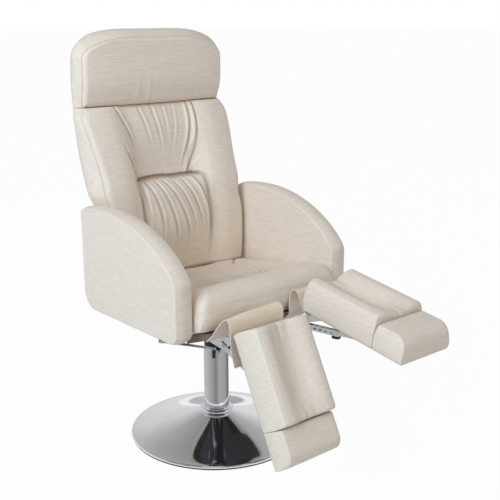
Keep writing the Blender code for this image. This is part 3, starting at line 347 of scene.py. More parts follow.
def speckle():
    """Fine speckle and slow smudges for plated, painted and moulded surfaces."""
    group, given, put_out = effect_group("speckle", [("Fine", 400.0), ("Broad", 14.0)], ["Speck", "Smudge"])
    coords = new_node(group, "TexCoord")
    for label, scale in (("Speck", "Fine"), ("Smudge", "Broad")):
        noise = new_node(group, "TexNoise", Detail=3.0)
        wire(group, [(coords.outputs["Object"], noise.inputs["Vector"]),
                     (given.outputs[scale], noise.inputs["Scale"]),
                     (noise.outputs["Fac"], put_out.inputs[label])])
    return group


GRAIN = crosswise_grain()
SPECKLE = speckle()
NOISE_RANGE = (0.3, 0.7)


def new_finish(name, roughness, metallic=0.0):
    """A material with its Principled shader, and that shader's node tree."""
    made = bpy.data.materials.new(name)
    made.use_nodes = True
    shader = made.node_tree.nodes["Principled BSDF"]
    shader.inputs["Roughness"].default_value = roughness
    shader.inputs["Metallic"].default_value = metallic
    return made, shader, made.node_tree


def tint(tree, factor, low, high, dark, pale):
    """A colour that runs from dark to pale as a factor runs from low to high."""
    ramp = new_node(tree, "ValToRGB")
    for stop, position, colour in zip(ramp.color_ramp.elements, (low, high), (dark, pale)):
        stop.position = position
        stop.color = (*colour, 1.0)
    wire(tree, [(factor, ramp.inputs["Fac"])])
    return ramp.outputs["Color"]


def spread(tree, factor, low, high):
    """A number that runs from low to high as a noise runs over its middle range."""
    noise_low, noise_high = NOISE_RANGE
    node = new_node(tree, "MapRange", From_Min=noise_low, From_Max=noise_high, To_Min=low, To_Max=high)
    wire(tree, [(factor, node.inputs["Value"])])
    return node.outputs["Result"]


def emboss(tree, height, depth, shader):
    """Raises a height in the shader's normal, by a depth in metres."""
    bump = new_node(tree, "Bump", Distance=depth)
    wire(tree, [(height, bump.inputs["Height"]), (bump.outputs["Normal"], shader.inputs["Normal"])])


def leatherette_finish(name, dark, pale, depth):
    """Cream leatherette: level embossed creases, a little deeper in colour, and painted brownish shade in
    folds.
    """
    made, shader, tree = new_finish(name, 0.46)
    grain = new_node(tree, "Group", group=GRAIN, Pitch=290.0, Stretch=0.07)
    colour = tint(tree, grain.outputs["Crease"], 0.30, 0.66, dark, pale)
    # Painted shade: an attribute mixes the colour towards brown in folds, tucks, joins and seams
    painted_shade_amount = new_node(tree, "Attribute")
    painted_shade_amount.attribute_name = "painted_shade_amount"
    shade = new_node(tree, "Mix")
    shade.data_type = "RGBA"
    shade.inputs["B"].default_value = (*PAINTED_SHADE_COLOUR, 1.0)
    wire(tree, [(painted_shade_amount.outputs["Fac"], shade.inputs["Factor"]), (colour, shade.inputs["A"]),
                (shade.outputs["Result"], shader.inputs["Base Color"]),
                (spread(tree, grain.outputs["Cloud"], 0.42, 0.54), shader.inputs["Roughness"])])
    emboss(tree, grain.outputs["Crease"], depth, shader)
    shader.inputs["Sheen Weight"].default_value = 0.05
    shader.inputs["Specular IOR Level"].default_value = 0.4
    return made


def hard_finish(name, dark, pale, low, high, depth, fine=500.0, metal=False):
    """Plate, paint, plastic, rubber or board: a fine relief, and polish that varies slowly.

    A metal's colour varies slowly too, and any other colour is speckled.
    """
    made, shader, tree = new_finish(name, low, 1.0 if metal else 0.0)
    marks = new_node(tree, "Group", group=SPECKLE, Fine=fine, Broad=16.0 if metal else 20.0)
    colour = tint(tree, marks.outputs["Smudge" if metal else "Speck"], *NOISE_RANGE, dark, pale)
    wire(tree, [(colour, shader.inputs["Base Color"]),
                (spread(tree, marks.outputs["Smudge"], low, high), shader.inputs["Roughness"])])
    if depth:
        emboss(tree, marks.outputs["Speck"], depth, shader)
    return made


# The brownish colour painted into folds, tucks, joins and seams as shade
PAINTED_SHADE_COLOUR = (0.36, 0.26, 0.17)
LEATHERETTE = leatherette_finish("cream_leatherette", (0.81, 0.705, 0.585), (0.905, 0.815, 0.70), 0.0007)
FLAP_LEATHERETTE = leatherette_finish("flap_leatherette", (0.81, 0.69, 0.52), (0.90, 0.785, 0.615), 0.0003)
FLAP_LINING = hard_finish("flap_lining", (0.85, 0.745, 0.64), (0.91, 0.81, 0.71), 0.75, 0.9, 0.0002, 900.0)
CHROME = hard_finish("chrome", (0.76, 0.77, 0.79), (0.82, 0.83, 0.85), 0.035, 0.09, 0.0, 420.0, True)
ZINC = hard_finish("zinc_plate", (0.68, 0.69, 0.71), (0.82, 0.83, 0.85), 0.16, 0.30, 0.00002, 420.0, True)
PAINTED = hard_finish("painted_steel", (0.035, 0.035, 0.038), (0.06, 0.06, 0.064), 0.38, 0.5, 0.0001)
IRON = hard_finish("cast_plate", (0.09, 0.09, 0.09), (0.14, 0.14, 0.14), 0.6, 0.75, 0.0003, 260.0)
RUBBER = hard_finish("black_rubber", (0.02, 0.02, 0.02), (0.04, 0.04, 0.04), 0.7, 0.85, 0.0002)
PLASTIC = hard_finish("black_plastic", (0.010, 0.010, 0.011), (0.020, 0.020, 0.021), 0.4, 0.55, 0.0001)
BOARD = hard_finish("brown_board", (0.15, 0.105, 0.07), (0.26, 0.19, 0.13), 0.7, 0.85, 0.0003, 340.0)
FINISHES = {"chrome": CHROME, "zinc_plate": ZINC, "painted_steel": PAINTED, "cast_plate": IRON,
            "black_rubber": RUBBER, "black_plastic": PLASTIC, "brown_board": BOARD,
            "cream_leatherette": LEATHERETTE}


def bounded(value):
    """A value kept between 0 and 1."""
    return np.clip(value, 0.0, 1.0)


def ease(value, low, high):
    """0 below low, 1 above high, and a smooth rise between."""
    q = bounded((value - low) / (high - low))
    return q * q * (3.0 - 2.0 * q)


def fade(value, low, high):
    """1 below low, 0 above high, and a smooth fall between."""
    return 1.0 - ease(value, low, high)


def hump(value, middle, half):
    """A smooth bump: 1 at the middle, 0 from half a width away."""
    return np.cos(np.minimum(np.abs(value - middle) / half, 1.0) * math.pi / 2) ** 2


def bell(distance, width):
    """A narrow bell: 1 on a line, and nearly nothing from two widths away."""
    return np.exp(-(distance / width) ** 2)


def fall(distance, radius):
    """How far a quarter-round edge has dropped at a distance in from it."""
    reach = bounded(1.0 - distance / radius)
    return radius * (1.0 - np.sqrt(1.0 - reach * reach))


def smooth_line(points, count=16):
    """A smooth curve through given points: each stretch is a cubic with slopes from its neighbours."""
    ends = np.array([points[0], *points, points[-1]], dtype=float)
    a, b, c, d = ends[:-3, None], ends[1:-2, None], ends[2:-1, None], ends[3:, None]
    t = np.linspace(0.0, 1.0, count, endpoint=False)[None, :, None]
    curve = 0.5 * (2 * b + (c - a) * t + (2 * a - 5 * b + 4 * c - d) * t ** 2
                   + (3 * b - a - 3 * c + d) * t ** 3)
    return np.vstack([curve.reshape(-1, ends.shape[1]), ends[-1]])


def height_reader(points):
    """A function that reads a (depth, height) profile at given heights."""
    line = smooth_line(points)
    return lambda z: np.interp(z, line[:, 1], line[:, 0])


def even_spacing(line, count):
    """Points at equal distances along a line."""
    along = np.concatenate([[0.0], np.cumsum(np.linalg.norm(np.diff(line, axis=0), axis=1))])
    at = np.linspace(0.0, along[-1], count)
    return np.stack([np.interp(at, along, line[:, k]) for k in range(line.shape[1])], axis=-1)


def crowded(count, share):
    """Values from -1 to 1, closer together towards the ends by the given share."""
    even = np.linspace(-1.0, 1.0, count)
    return even * (1.0 - share) + np.sin(even * math.pi / 2) * share


def grid_quads(number):
    """The four corners of each cell of a grid of point numbers."""
    return np.stack([number[:-1, :-1], number[:-1, 1:], number[1:, 1:], number[1:, :-1]], axis=-1)


def closed_box(across, along, up):
    """Six grids joined along their edges: a box's s, t, h values, its faces, and which faces lie below."""
    wide, long, high = len(across), len(along), len(up)
    number = np.arange(wide * long * high).reshape(high, long, wide)
    sides = ((number[0], -1), (number[-1], 1), (number[:, 0], 1), (number[:, -1], -1),
             (number[:, :, 0], -1), (number[:, :, -1], 1))
    sheets = [grid_quads(grid).reshape(-1, 4)[:, ::way] for grid, way in sides]
    used, faces = np.unique(np.vstack(sheets), return_inverse=True)
    faces = faces.reshape(-1, 4)
    below = np.arange(len(faces)) < len(sheets[0])
    s = across[used % wide]
    t = along[used // wide % long]
    h = up[used // (wide * long)]
    return s, t, h, faces, below


def outward(points, faces):
    """The faces, turned over if the closed surface they make holds a negative volume."""
    a, b, c, d = points[faces.T]
    volume = np.sum(a * (np.cross(b, c) + np.cross(c, d)))
    return faces if volume > 0 else faces[:, ::-1]


def mesh_from(name, points, faces):
    """A smooth-shaded mesh from arrays of points and quads."""
    mesh = bpy.data.meshes.new(name)
    mesh.vertices.add(len(points))
    mesh.vertices.foreach_set("co", points.astype(np.float32).ravel())
    mesh.loops.add(faces.size)
    mesh.loops.foreach_set("vertex_index", faces.astype(np.int32).ravel())
    mesh.polygons.add(len(faces))
    mesh.polygons.foreach_set("loop_start", np.arange(0, faces.size, 4, dtype=np.int32))
    mesh.update(calc_edges=True)
    mesh.validate()
    mesh.shade_smooth()
    return mesh


def weld(mesh):
    """Closes seams and poles by merging the points that fall together."""
    bm = bmesh.new()
    bm.from_mesh(mesh)
    bmesh.ops.remove_doubles(bm, verts=bm.verts, dist=WELD_DISTANCE)
    bm.to_mesh(mesh)
    bm.free()


def closed_skin(name, points):
    """A closed mesh from a grid of points whose seam and poles fall together."""
    number = np.arange(points.shape[0] * points.shape[1]).reshape(points.shape[:2])
    flat = points.reshape(-1, 3)
    mesh = mesh_from(name, flat, outward(flat, grid_quads(number).reshape(-1, 4)))
    weld(mesh)
    return mesh


def add_to_scene(name, data):
    """A new object in the scene, with the given mesh, lamp or lens."""
    made = bpy.data.objects.new(name, data)
    bpy.context.scene.collection.objects.link(made)
    return made


def place(name, mesh, body, slot, *finishes):
    """Puts a mesh into the scene with its finishes, on the body that it moves with."""
    for finish in finishes:
        mesh.materials.append(finish)
    piece = add_to_scene(name, mesh)
    if body:
        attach(piece, body)
    return piece


def turned(name, profile, body, slot):
    """A closed (radius, height) profile carried round Z; its points on the axis make closed poles."""
    outline = profile if profile[0, 0] == 0.0 == profile[-1, 0] else np.vstack([profile, profile[:1]])
    radius, height = outline[:, None, 0], outline[:, None, 1]
    angle = np.linspace(0.0, 2 * math.pi, TURNED_STEPS + 1)
    points = np.stack([radius * np.cos(angle), radius * np.sin(angle),
                       np.repeat(height, TURNED_STEPS + 1, axis=1)], axis=-1)
    mesh = closed_skin(name, points)
    mesh.set_sharp_from_angle(angle=TURNED_SHARP)
    return place(name, mesh, body, slot, FINISHES[slot])


def eased_corner(centre, radius, start, end, count=8):
    """Points along an arc, between two angles in degrees."""
    angle = np.radians(np.linspace(start, end, count))
    return np.stack([centre[0] + radius * np.cos(angle), centre[1] + radius * np.sin(angle)], axis=-1)


def make_base():
    """The chrome cover, a trumpet curve from column to rim, with its collar, column, trim and gas tube."""
    q = np.linspace(0.0, 1.0, 40)
    throat = COLUMN_RADIUS + FIT_GAP
    flat_rim = BASE_RADIUS - COVER_LIP
    slope = np.stack([throat + (flat_rim - throat) * q,
                      COVER_TOP + (COVER_RIM_TOP - COVER_TOP) * (1 - (1 - q) ** COVER_FLARE)], axis=-1)
    lip = eased_corner((flat_rim, COVER_RIM_TOP - COVER_LIP), COVER_LIP, 90, 0)
    edge = np.array([(BASE_RADIUS, COVER_RIM_BOTTOM), (BASE_RADIUS - COVER_WALL, COVER_RIM_BOTTOM)])
    inside = slope[::-1] - (0.0, COVER_WALL)
    cover = turned("chrome_base_cover", np.vstack([slope, lip, edge, inside]), "base", "chrome")
    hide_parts("base_cover")
    flange_round = COLLAR_FLANGE / 2
    flange = eased_corner((COLLAR_RADIUS - flange_round, COVER_TOP + FIT_GAP + flange_round), flange_round,
                          90, -90, 14)
    neck = eased_corner((COLLAR_NECK_RADIUS - COLLAR_LIP, COLLAR_TOP - COLLAR_LIP), COLLAR_LIP, 90, 0, 6)
    profile = np.vstack([[(throat, COLLAR_TOP)], neck, [(COLLAR_NECK_RADIUS, flange[0, 1])], flange,
                         [(throat, flange[-1, 1])]])
    collar = turned("chrome_collar", profile, "base", "chrome")
    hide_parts("base_collar")
    inner = COLUMN_RADIUS - COLUMN_WALL
    lip = eased_corner((COLUMN_RADIUS - COLUMN_LIP, COLUMN_TOP - COLUMN_LIP), COLUMN_LIP, 90, 0, 6)
    foot = [(COLUMN_RADIUS, COLUMN_FOOT), (inner, COLUMN_FOOT)]
    column = turned("chrome_column", np.vstack([[(inner, COLUMN_TOP)], lip, foot]), "base", "chrome")
    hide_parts("column_tube")
    outer = BASE_RADIUS - RIM_TRIM_INSET
    inner = FLOOR_PLATE_RADIUS + FIT_GAP
    edge = eased_corner((outer - TRIM_LIP, RIM_TRIM_HEIGHT - TRIM_LIP), TRIM_LIP, 90, 0, 5)
    profile = np.vstack([edge, [(outer - TRIM_DRAFT, 0.0), (inner, 0.0), (inner, RIM_TRIM_HEIGHT)]])
    trim = turned("rubber_rim_trim", profile, "base", "black_rubber")
    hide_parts("rim_trim")
    profile = np.array([(0.0, TUBE_TOP), (TUBE_RADIUS, TUBE_TOP), (TUBE_RADIUS, TUBE_BOTTOM),
                        (TUBE_BORE, TUBE_BOTTOM), (TUBE_BORE, TUBE_BORE_TOP), (0.0, TUBE_BORE_TOP)])
    tube = turned("chrome_gas_tube", profile, "seat", "chrome")
    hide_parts("pressure_tube")


back_front = height_reader(BACK_FRONT)
back_rear = height_reader(BACK_REAR)


def pleats(x, z):
    """Relief of the back's sewn pleats, and how much painted shade each point takes in their valleys.

    Each pleat is a narrow ridge beside a sharp valley, along a parabola through three points of the face. It
    dies away towards its loose end.
    """
    relief = np.zeros_like(x)
    painted_shade = np.zeros_like(x)
    for places, height, lean, loose in FOLDS:
        (_, top), _, (_, end) = places
        at = np.array(places)
        off = x - np.polyval(np.polyfit(at[:, 1], at[:, 0], 2), z)
        half_way = (top - end) / 2
        run = ease(z, end - 0.006, end + (half_way if loose == "low" else 0.006))
        run = run * fade(z, top - (half_way if loose == "high" else 0.004), top + 0.010)
        valley = bell(off + lean * FOLD_STEP, FOLD_VALLEY)
        relief = relief + height * run * (bell(off, FOLD_RIDGE) - 0.75 * valley)
        # Painted shade in each pleat's valley
        painted_shade = np.maximum(painted_shade, FOLD_PAINTED_SHADE * height * run * valley)
    return relief, bounded(painted_shade)


def back_surface(x, z):
    """The back's face and its folds: a profile less two bolsters' crowns, dished to a tuck, then bulging.

    The tuck is a sunken line: the dish above slopes in to it, and the pleated panel below rolls out of it in
    a quarter round. Shade is painted into the folds, the tuck and the valleys beside the pleated panel.
    """
    side = np.abs(x)
    reach = BOLSTER_SPREAD * (1.0 + 0.9 * ease(side, BOLSTER_PLACE - 0.01, BOLSTER_PLACE + 0.01))
    y = back_front(z) - BOLSTER_CROWN * hump(side, BOLSTER_PLACE, reach)
    panel = fade(side, PANEL_HALF_WIDTH * 0.80, PANEL_HALF_WIDTH * 1.28)
    tuck_line = TUCK_HEIGHT + TUCK_WOBBLE * np.sin(side * 26.0 + 0.6) * (x < 0) - 0.002
    above = ease(z, tuck_line - 0.001, tuck_line + 0.001)
    dish = TUCK_DEPTH * fade(z, tuck_line, BACK_SEAM - 0.015) ** 1.25
    below = np.clip(tuck_line - z, 0.0, None)
    roll = (TUCK_DEPTH + ROLL_LIFT) * fall(below, TUCK_ROUND) / TUCK_ROUND - ROLL_LIFT
    bulge = LUMBAR_CROWN * hump(z, LUMBAR_PLACE, LUMBAR_SPREAD)
    bulge = bulge * (1.0 - 0.5 * np.minimum(side / PANEL_HALF_WIDTH, 1.0) ** 2)
    y = y + panel * (above * dish + (1.0 - above) * (roll - bulge))
    folds, painted_shade = pleats(x, z)
    sides = hump(side, PANEL_HALF_WIDTH * 1.05, 0.014) * ease(z, 0.44, 0.60) * (1.0 - above)
    tuck = bell(z - tuck_line, TUCK_WIDTH)
    tuck = tuck * fade(side, PANEL_HALF_WIDTH * 0.95, PANEL_HALF_WIDTH * 1.1)
    # Painted shade in the tuck's line and in the valleys beside the pleated panel
    painted_shade = np.maximum(np.maximum(painted_shade, 0.9 * tuck), 0.5 * sides)
    return y - folds + 0.006 * tuck + 0.007 * sides, painted_shade


def back_cushion_form(s, t, h):
    """The back cushion: s across, t up, h from the shell to the face, with full sides and a side seam."""
    z = BACK_BOTTOM + (BACK_SEAM - SEAM_GAP - BACK_BOTTOM) * (t + 1) / 2
    shoulder = ease(z, BACK_SEAM - 0.040, BACK_SEAM) ** 2
    free = ease(z, *ABOVE_ARMS)
    taper = BACK_TAPER * ease(BACK_SEAM - z, 0.02, 0.20) * ease(z, 0.60, 0.69)
    half = BACK_HALF_WIDTH + (UPPER_SWELL + 0.004 * (1.0 - h)) * free - (0.012 * shoulder + taper) * h
    x = s * half
    y, painted_shade = back_surface(x, z)
    edge = np.maximum(fall(half - np.abs(x), BACK_EDGE_RADIUS), fall(z - BACK_BOTTOM, 0.008))
    y = y + np.maximum(edge, fall(BACK_SEAM - z, 0.014))
    rear = back_rear(z) - SHELL_THICKNESS - SHELL_GAP
    wall = ease(np.abs(s), 0.97, 1.0)
    seam = bell(h - SEAM_SHARE, 0.014) * ease(np.abs(s), 0.985, 1.0)
    puff = (0.004 + 0.005 * free) * np.sin(math.pi * h) ** 0.8 * wall * fade(np.abs(t), 0.93, 1.0)
    x = s * (half - 0.004 + 0.002 * free) + np.sign(s) * (puff - 0.0020 * seam)
    # Painted shade where the back meets the seat, and along the side seam
    painted_shade = np.maximum(painted_shade, JOIN_PAINTED_SHADE * fade(z, SEAT_JOIN, SEAT_JOIN + 0.012))
    return np.stack([x, rear + (y - rear) * h, z], axis=-1), np.maximum(painted_shade * (h > FACE_FROM), 0.5 * seam)


def rear_panel_form(s, t, h):
    """The back's upholstered rear panel: thick as the shell, round at its edges, fuller above the straps."""
    z = SHELL_BOTTOM + (SHELL_TOP - SHELL_BOTTOM) * (t + 1) / 2
    half = np.minimum(PANEL_REAR_HALF, headrest_half(z) - PANEL_MARGIN)
    front = back_rear(z) - SHELL_THICKNESS
    full = PANEL_FULL * ease(z, 0.575, 0.66) * (1.0 - s ** 6) * fade(z, SHELL_TOP - 0.10, SHELL_TOP)
    edge = np.minimum(half * (1.0 - np.abs(s)), np.minimum(z - SHELL_BOTTOM, SHELL_TOP - z))
    y = back_rear(z) - SEAM_GAP + full - fall(edge, PANEL_EDGE_RADIUS)
    return np.stack([s * half, front + (y - front) * h, z], axis=-1), np.zeros_like(s)


def headrest_half(z):
    """Half the headrest's width at height z: straight sides, then corners a bit squarer than an ellipse."""
    wide, tall = HEADREST_CORNER
    corner = bounded((z - (HEADREST_TOP - tall)) / tall)
    return HEADREST_HALF_WIDTH - wide * (1.0 - (1.0 - corner ** CORNER_POWER) ** (1 / CORNER_POWER))


def headrest_form(s, t, h):
    """The headrest: a boxed pad with round top corners, a crowned face, and a gusset that tapers to it."""
    q = (t + 1) / 2
    z = BACK_SEAM + SEAM_GAP + (HEADREST_TOP - BACK_SEAM - SEAM_GAP) * q * (2.0 - q)
    half = headrest_half(z)
    half = half - h * (HEADREST_TAPER + 0.004 * fade(z, BACK_SEAM, BACK_SEAM + 0.05) ** 2)
    x = s * half
    height = (z - BACK_SEAM) / (HEADREST_TOP - BACK_SEAM)
    crown = (1 - (x / HEADREST_HALF_WIDTH) ** 4) * np.sin(math.pi * np.minimum(height + 0.30, 1.0) / 1.5)
    y = HEADREST_FRONT - HEADREST_CROWN * crown + HEADREST_TUCK * fade(height, 0.0, 0.45) ** 2
    inset = np.minimum(half - np.abs(x), HEADREST_TOP - z)
    edge = np.maximum(fall(inset, 0.011), fall(z - BACK_SEAM, 0.020))
    gathers = (hump(x, -0.045, 0.10) + 0.5 * hump(x, 0.11, 0.06)) * fade(height, 0.05, 0.60)
    ripple = np.sin(x * 2 * math.pi / 0.031 + 1.6 * np.sin(x * 43.0))
    ripple = ripple + 0.6 * np.sin(x * 2 * math.pi / 0.019 + 2.0)
    y = y + edge + 0.0012 * gathers * ripple
    over = ease(z, SHELL_TOP, SHELL_TOP + 0.010)
    over = over * fade(np.abs(x), PANEL_REAR_HALF - 0.05, PANEL_REAR_HALF)
    rear = back_rear(z) - (SHELL_THICKNESS + SHELL_GAP) * (1.0 - 0.9 * over)
    wall = np.maximum(ease(np.abs(s), 0.985, 1.0), ease(height, 0.99, 1.0))
    seam = bell(h - SEAM_SHARE, 0.02) * wall
    puff = 0.004 * np.sin(math.pi * h) * wall - 0.0018 * seam
    upright = 1.0 - bounded((z - HEADREST_TOP) / HEADREST_CORNER[1] + 1.0) ** 2
    x = x + np.sign(s) * (puff - 0.003) * ease(np.abs(s), 0.5, 1.0) * upright
    z = z + puff * (1.0 - upright) - HEADREST_TOP_TAPER * h * ease(height, 0.5, 1.0)
    # Painted shade along the side seam
    return np.stack([x, rear + (y - rear) * h, z], axis=-1), 0.5 * seam


def soft_slab(name, form, across, along, up, body, nodes, under=None):
    """A closed padded piece: a box of grids, each point placed by its form, in place of its CAD solids."""
    s, t, h, faces, below = closed_box(across, along, up)
    points, painted_shade = form(s, t, h)
    mesh = mesh_from(name, points, outward(points, faces))
    # The form's painted shade goes into an attribute that darkens the leatherette's colour
    mesh.attributes.new("painted_shade_amount", "FLOAT", "POINT").data.foreach_set("value", painted_shade.astype(np.float32))
    piece = place(name, mesh, body, "cream_leatherette", LEATHERETTE, *([under] if under else []))
    if under:
        mesh.polygons.foreach_set("material_index", below.astype(np.int32))
        mesh.update()
    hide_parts(*nodes)


def make_back():
    """The back cushion, headrest and rear panel, with close columns at the folds and rows at the tuck."""
    pleated = PLEATED_HALF / BACK_HALF_WIDTH
    outer = -1.0 + (1.0 - pleated) * (1.0 - np.cos(np.linspace(0.0, math.pi, 26))) / 2
    across = np.concatenate([outer[:-1], np.linspace(-pleated, pleated, 200), -outer[-2::-1]])
    tuck_at = 2 * (TUCK_HEIGHT - BACK_BOTTOM) / (BACK_SEAM - BACK_BOTTOM) - 1
    low = -1.0 + (tuck_at + 1.0) * np.sin(np.linspace(0.0, math.pi / 2, 80))
    high = tuck_at + (1.0 - tuck_at) * (1.0 - np.cos(np.linspace(0.0, math.pi, 64))) / 2
    along = np.concatenate([low[:-1], high])
    up = np.concatenate([np.linspace(0.0, 0.82, 6), np.linspace(0.86, 1.0, 15)])
    soft_slab("back_cushion_cover", back_cushion_form, across, along, up, "backrest", ["back_cushion"])
    soft_slab("headrest_cover", headrest_form, crowded(110, 0.75), crowded(84, 0.9), up, "backrest",
              ["headrest_pad"])
    soft_slab("rear_panel_cover", rear_panel_form, crowded(70, 0.85), crowded(110, 0.6),
              np.linspace(0.0, 1.0, 5), "backrest", ["back_shell"])


def toe_in(y):
    """How far the arms' inner faces come in at y: nothing at the arms' rear, ARM_TOE at their front."""
    return ARM_TOE * bounded((ARM_REAR - y) / (ARM_REAR - ARM_FRONT))


def seat_form(s, t, h):
    """The seat cushion: a boxed roll along its front, a sewn crease behind it, then a panel to the back.

    The roll falls away in a large round at its two ends. Clusters of short gathers fan out behind the crease,
    slower ones cross the rear, and one tuck runs forward from its corner.
    """
    y = SEAT_FRONT + (SEAT_REAR - SEAT_FRONT) * (t + 1) / 2
    half = SEAT_HALF_WIDTH - toe_in(y)
    x = s * half
    rise = bounded((SEAT_UNDER_BREAK - y) / SEAT_UNDER_RUN)
    under = SEAT_UNDER + (SEAT_UNDER_FRONT - SEAT_UNDER) * rise
    share = (y - SEAT_FRONT) / (SEAT_REAR - SEAT_FRONT)
    behind = y - SEAT_CREASE - 0.003 * np.sin(17.0 * x + 0.8)
    crease = bell(behind, 0.009)
    top = SEAT_TOP - SEAT_SLOPE * share ** 0.9 + ROLL_CROWN * hump(y, ROLL_PLACE, ROLL_SPREAD)
    top = top - CREASE_DEPTH * crease + SEAT_CROWN * (1 - s * s) * hump(share, 0.55, 0.33)
    cluster = 0.5 + 0.5 * np.cos((x + 0.185) * 2 * math.pi / CLUSTER_PITCH + 0.8 * np.sin(19.0 * x))
    pulls = hump(y, -0.075, 0.075) * (0.25 + 0.75 * cluster ** 1.5)
    pulls = pulls * (1.0 - 0.45 * ease(x, -0.02, 0.10)) * fade(x, 0.12, 0.16)
    fan = 0.20 * x / (y + 0.29) + 0.004 * np.sin(55.0 * x)
    valley = (0.5 - 0.5 * np.sin(fan * 2 * math.pi / GATHER_PITCH)) ** 4
    rear = hump(share, 1.0, 0.42) * (0.55 + 0.45 * np.sin(9.0 * x + 1.0))
    rear_wave = np.sin((y + 0.32 * x + 0.004 * np.sin(40.0 * x)) * 2 * math.pi / REAR_PITCH)
    corner_x, corner_y = SEAT_TUCK_CORNER
    way_x, way_y = SEAT_TUCK_WAY
    across = way_y * (x - corner_x) - way_x * (y - corner_y)
    along = way_x * (corner_x - x) + way_y * (corner_y - y)
    tuck = bell(across, 0.005) * ease(along, -0.02, 0.02) * fade(along, 0.05, 0.12)
    top = top - GATHER_DEPTH * pulls * valley - SEAT_TUCK_DEPTH * tuck + REAR_DEPTH * rear * rear_wave
    end = 0.026 + 0.022 * fade(y, SEAT_CREASE - 0.030, SEAT_CREASE + 0.015)
    side_drop = fall(half - np.abs(x), end)
    top = top - np.hypot(fall(y - SEAT_FRONT, SEAT_FRONT_RADIUS), side_drop) - fall(SEAT_REAR - y, 0.012)
    belly = np.sin(math.pi * h) ** 0.7
    front = ease(-t, 0.975, 1.0)
    corner = fall(half - np.abs(x), 0.030) * fade(share, 0.0, 0.16)
    y = y + front * (0.006 * (1 - h) ** 3 - 0.004 * belly) + 0.35 * corner
    x = s * (half - 0.003) + np.sign(s) * 0.002 * belly * ease(np.abs(s), 0.98, 1.0)
    # Painted shade in gathers, rear ripples, crease, tuck, the dip behind the crease, and the join with the
    # back
    painted_shade = np.maximum(0.9 * pulls * valley, 0.25 * rear * bounded(-rear_wave))
    painted_shade = np.maximum(painted_shade, np.maximum(0.30 * crease, 0.6 * tuck)) + 0.10 * hump(behind, 0.035, 0.07)
    painted_shade = np.maximum(painted_shade, JOIN_PAINTED_SHADE * bell(SEAT_REAR - y, 0.008))
    return np.stack([x, y, under + (top - under) * h], axis=-1), bounded(painted_shade) * (h > FACE_FROM)


def make_seat():
    """The seat cushion, on rows and columns close enough for its gathers."""
    soft_slab("seat_cushion_cover", seat_form, crowded(190, 0.40), crowded(180, 0.35),
              np.linspace(0.0, 1.0, 14), "seat", ["seat_cushion"])


def arm_outline():
    """The arm panel's side view as a closed line: flat bottom, upright front, long arch over to the rear."""
    low = ARM_BOTTOM + ARM_FRONT_RADIUS
    front_low = eased_corner((ARM_FRONT + ARM_FRONT_RADIUS, low), ARM_FRONT_RADIUS, 180, 270)
    low = ARM_BOTTOM + ARM_REAR_RADIUS
    rear_low = eased_corner((ARM_REAR - ARM_REAR_RADIUS, low), ARM_REAR_RADIUS, -90, 0, 14)
    crest_y, crest_z = ARM_CREST
    q = np.linspace(1.0, 0.05, 12) * math.pi / 2
    rear_top = np.stack([crest_y + (ARM_REAR - crest_y) * np.sin(q),
                         ARM_REAR_TOP + (crest_z - ARM_REAR_TOP) * np.cos(q)], axis=-1)
    q = np.linspace(0.0, 1.0, 40) * math.pi / 2
    arch = np.stack([crest_y - (crest_y - ARM_FRONT) * np.sin(q),
                     ARM_FRONT_TOP + (crest_z - ARM_FRONT_TOP) * np.cos(q) ** ARM_ARCH], axis=-1)
    line = np.vstack([front_low, rear_low, rear_top, arch])
    return even_spacing(np.vstack([line, line[:1]]), 201)[:-1]


def make_arms():
    """Two padded arm panels: rings of the outline, drawn in towards a pole in the middle of each face.

    The faces swell a little and turn over into the rim, which is full in its middle, with a sewn line on each
    side. Towards the front the inner face comes in by the whole toe-in and the outer face by half of it.
    """
    line = arm_outline()
    middle = np.array(ARM_MIDDLE)
    ahead = np.roll(line, -1, axis=0) - np.roll(line, 1, axis=0)
    inward = np.stack([-ahead[:, 1], ahead[:, 0]], axis=-1) / np.linalg.norm(ahead, axis=1, keepdims=True)
    half = ARM_THICKNESS / 2
    bend = np.linspace(0.0, math.pi / 2, 14)
    face = np.linspace(0.0, 1.0, 26) ** 0.7
    drawn = middle + (line - middle) * (1.0 - ARM_ROUND)
    rings = []
    for way in (1.0, -1.0):
        side = [(middle + (drawn - middle) * q, way * (half - ARM_SWELL * q ** 4)) for q in face[:-1]]
        for a in bend:
            sewn = ARM_SEWN * math.exp(-((a - 0.30) / 0.10) ** 2)
            size = 1.0 - ARM_ROUND * (1 - math.sin(a))
            ring = middle + (line - middle) * size + inward * ARM_RIM * math.sin(a)
            side.append((ring, way * (half - ARM_SWELL - sewn - ARM_EASE * (1 - math.cos(a)))))
        rings.extend(side if way > 0 else side[::-1])
        if way > 0:
            for share in np.linspace(0.85, -0.85, 12):
                rings.append((line + inward * ARM_RIM * share ** 2, share * (half - ARM_SWELL - ARM_EASE)))
    for side, sign in SIDES:
        points = []
        for ring, x in rings:
            drawn_in = toe_in(ring[:, 0]) * (0.75 - 0.25 * sign * x / half)
            points.append(np.column_stack([sign * (ARM_INNER + half - drawn_in) + x, ring]))
        points = np.stack(points)
        mesh = closed_skin("arm_cover_" + side, np.concatenate([points, points[:, :1]], axis=1))
        arm = place("arm_cover_" + side, mesh, "seat", "cream_leatherette", LEATHERETTE)
        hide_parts("arm_" + side)


def on_leg(u, w, side):
    """(Y, Z) of a point of a leg rest, from its own frame."""
    turn = math.radians(LEG_ANGLES[side])
    return (LEG_PIVOT[0] - u * math.cos(turn) - w * math.sin(turn),
            LEG_PIVOT[1] - u * math.sin(turn) + w * math.cos(turn))


def across_leg(s, h, sign, full):
    """X of a point of a leg rest: a share s of its width, with sides that swell by an amount half-way up."""
    swell = full * np.sin(math.pi * h) ** 0.7 * ease(np.abs(s), 0.90, 1.0)
    return sign * LEG_MIDDLE + s * (LEG_HALF_WIDTH - 0.001) + np.sign(s) * swell


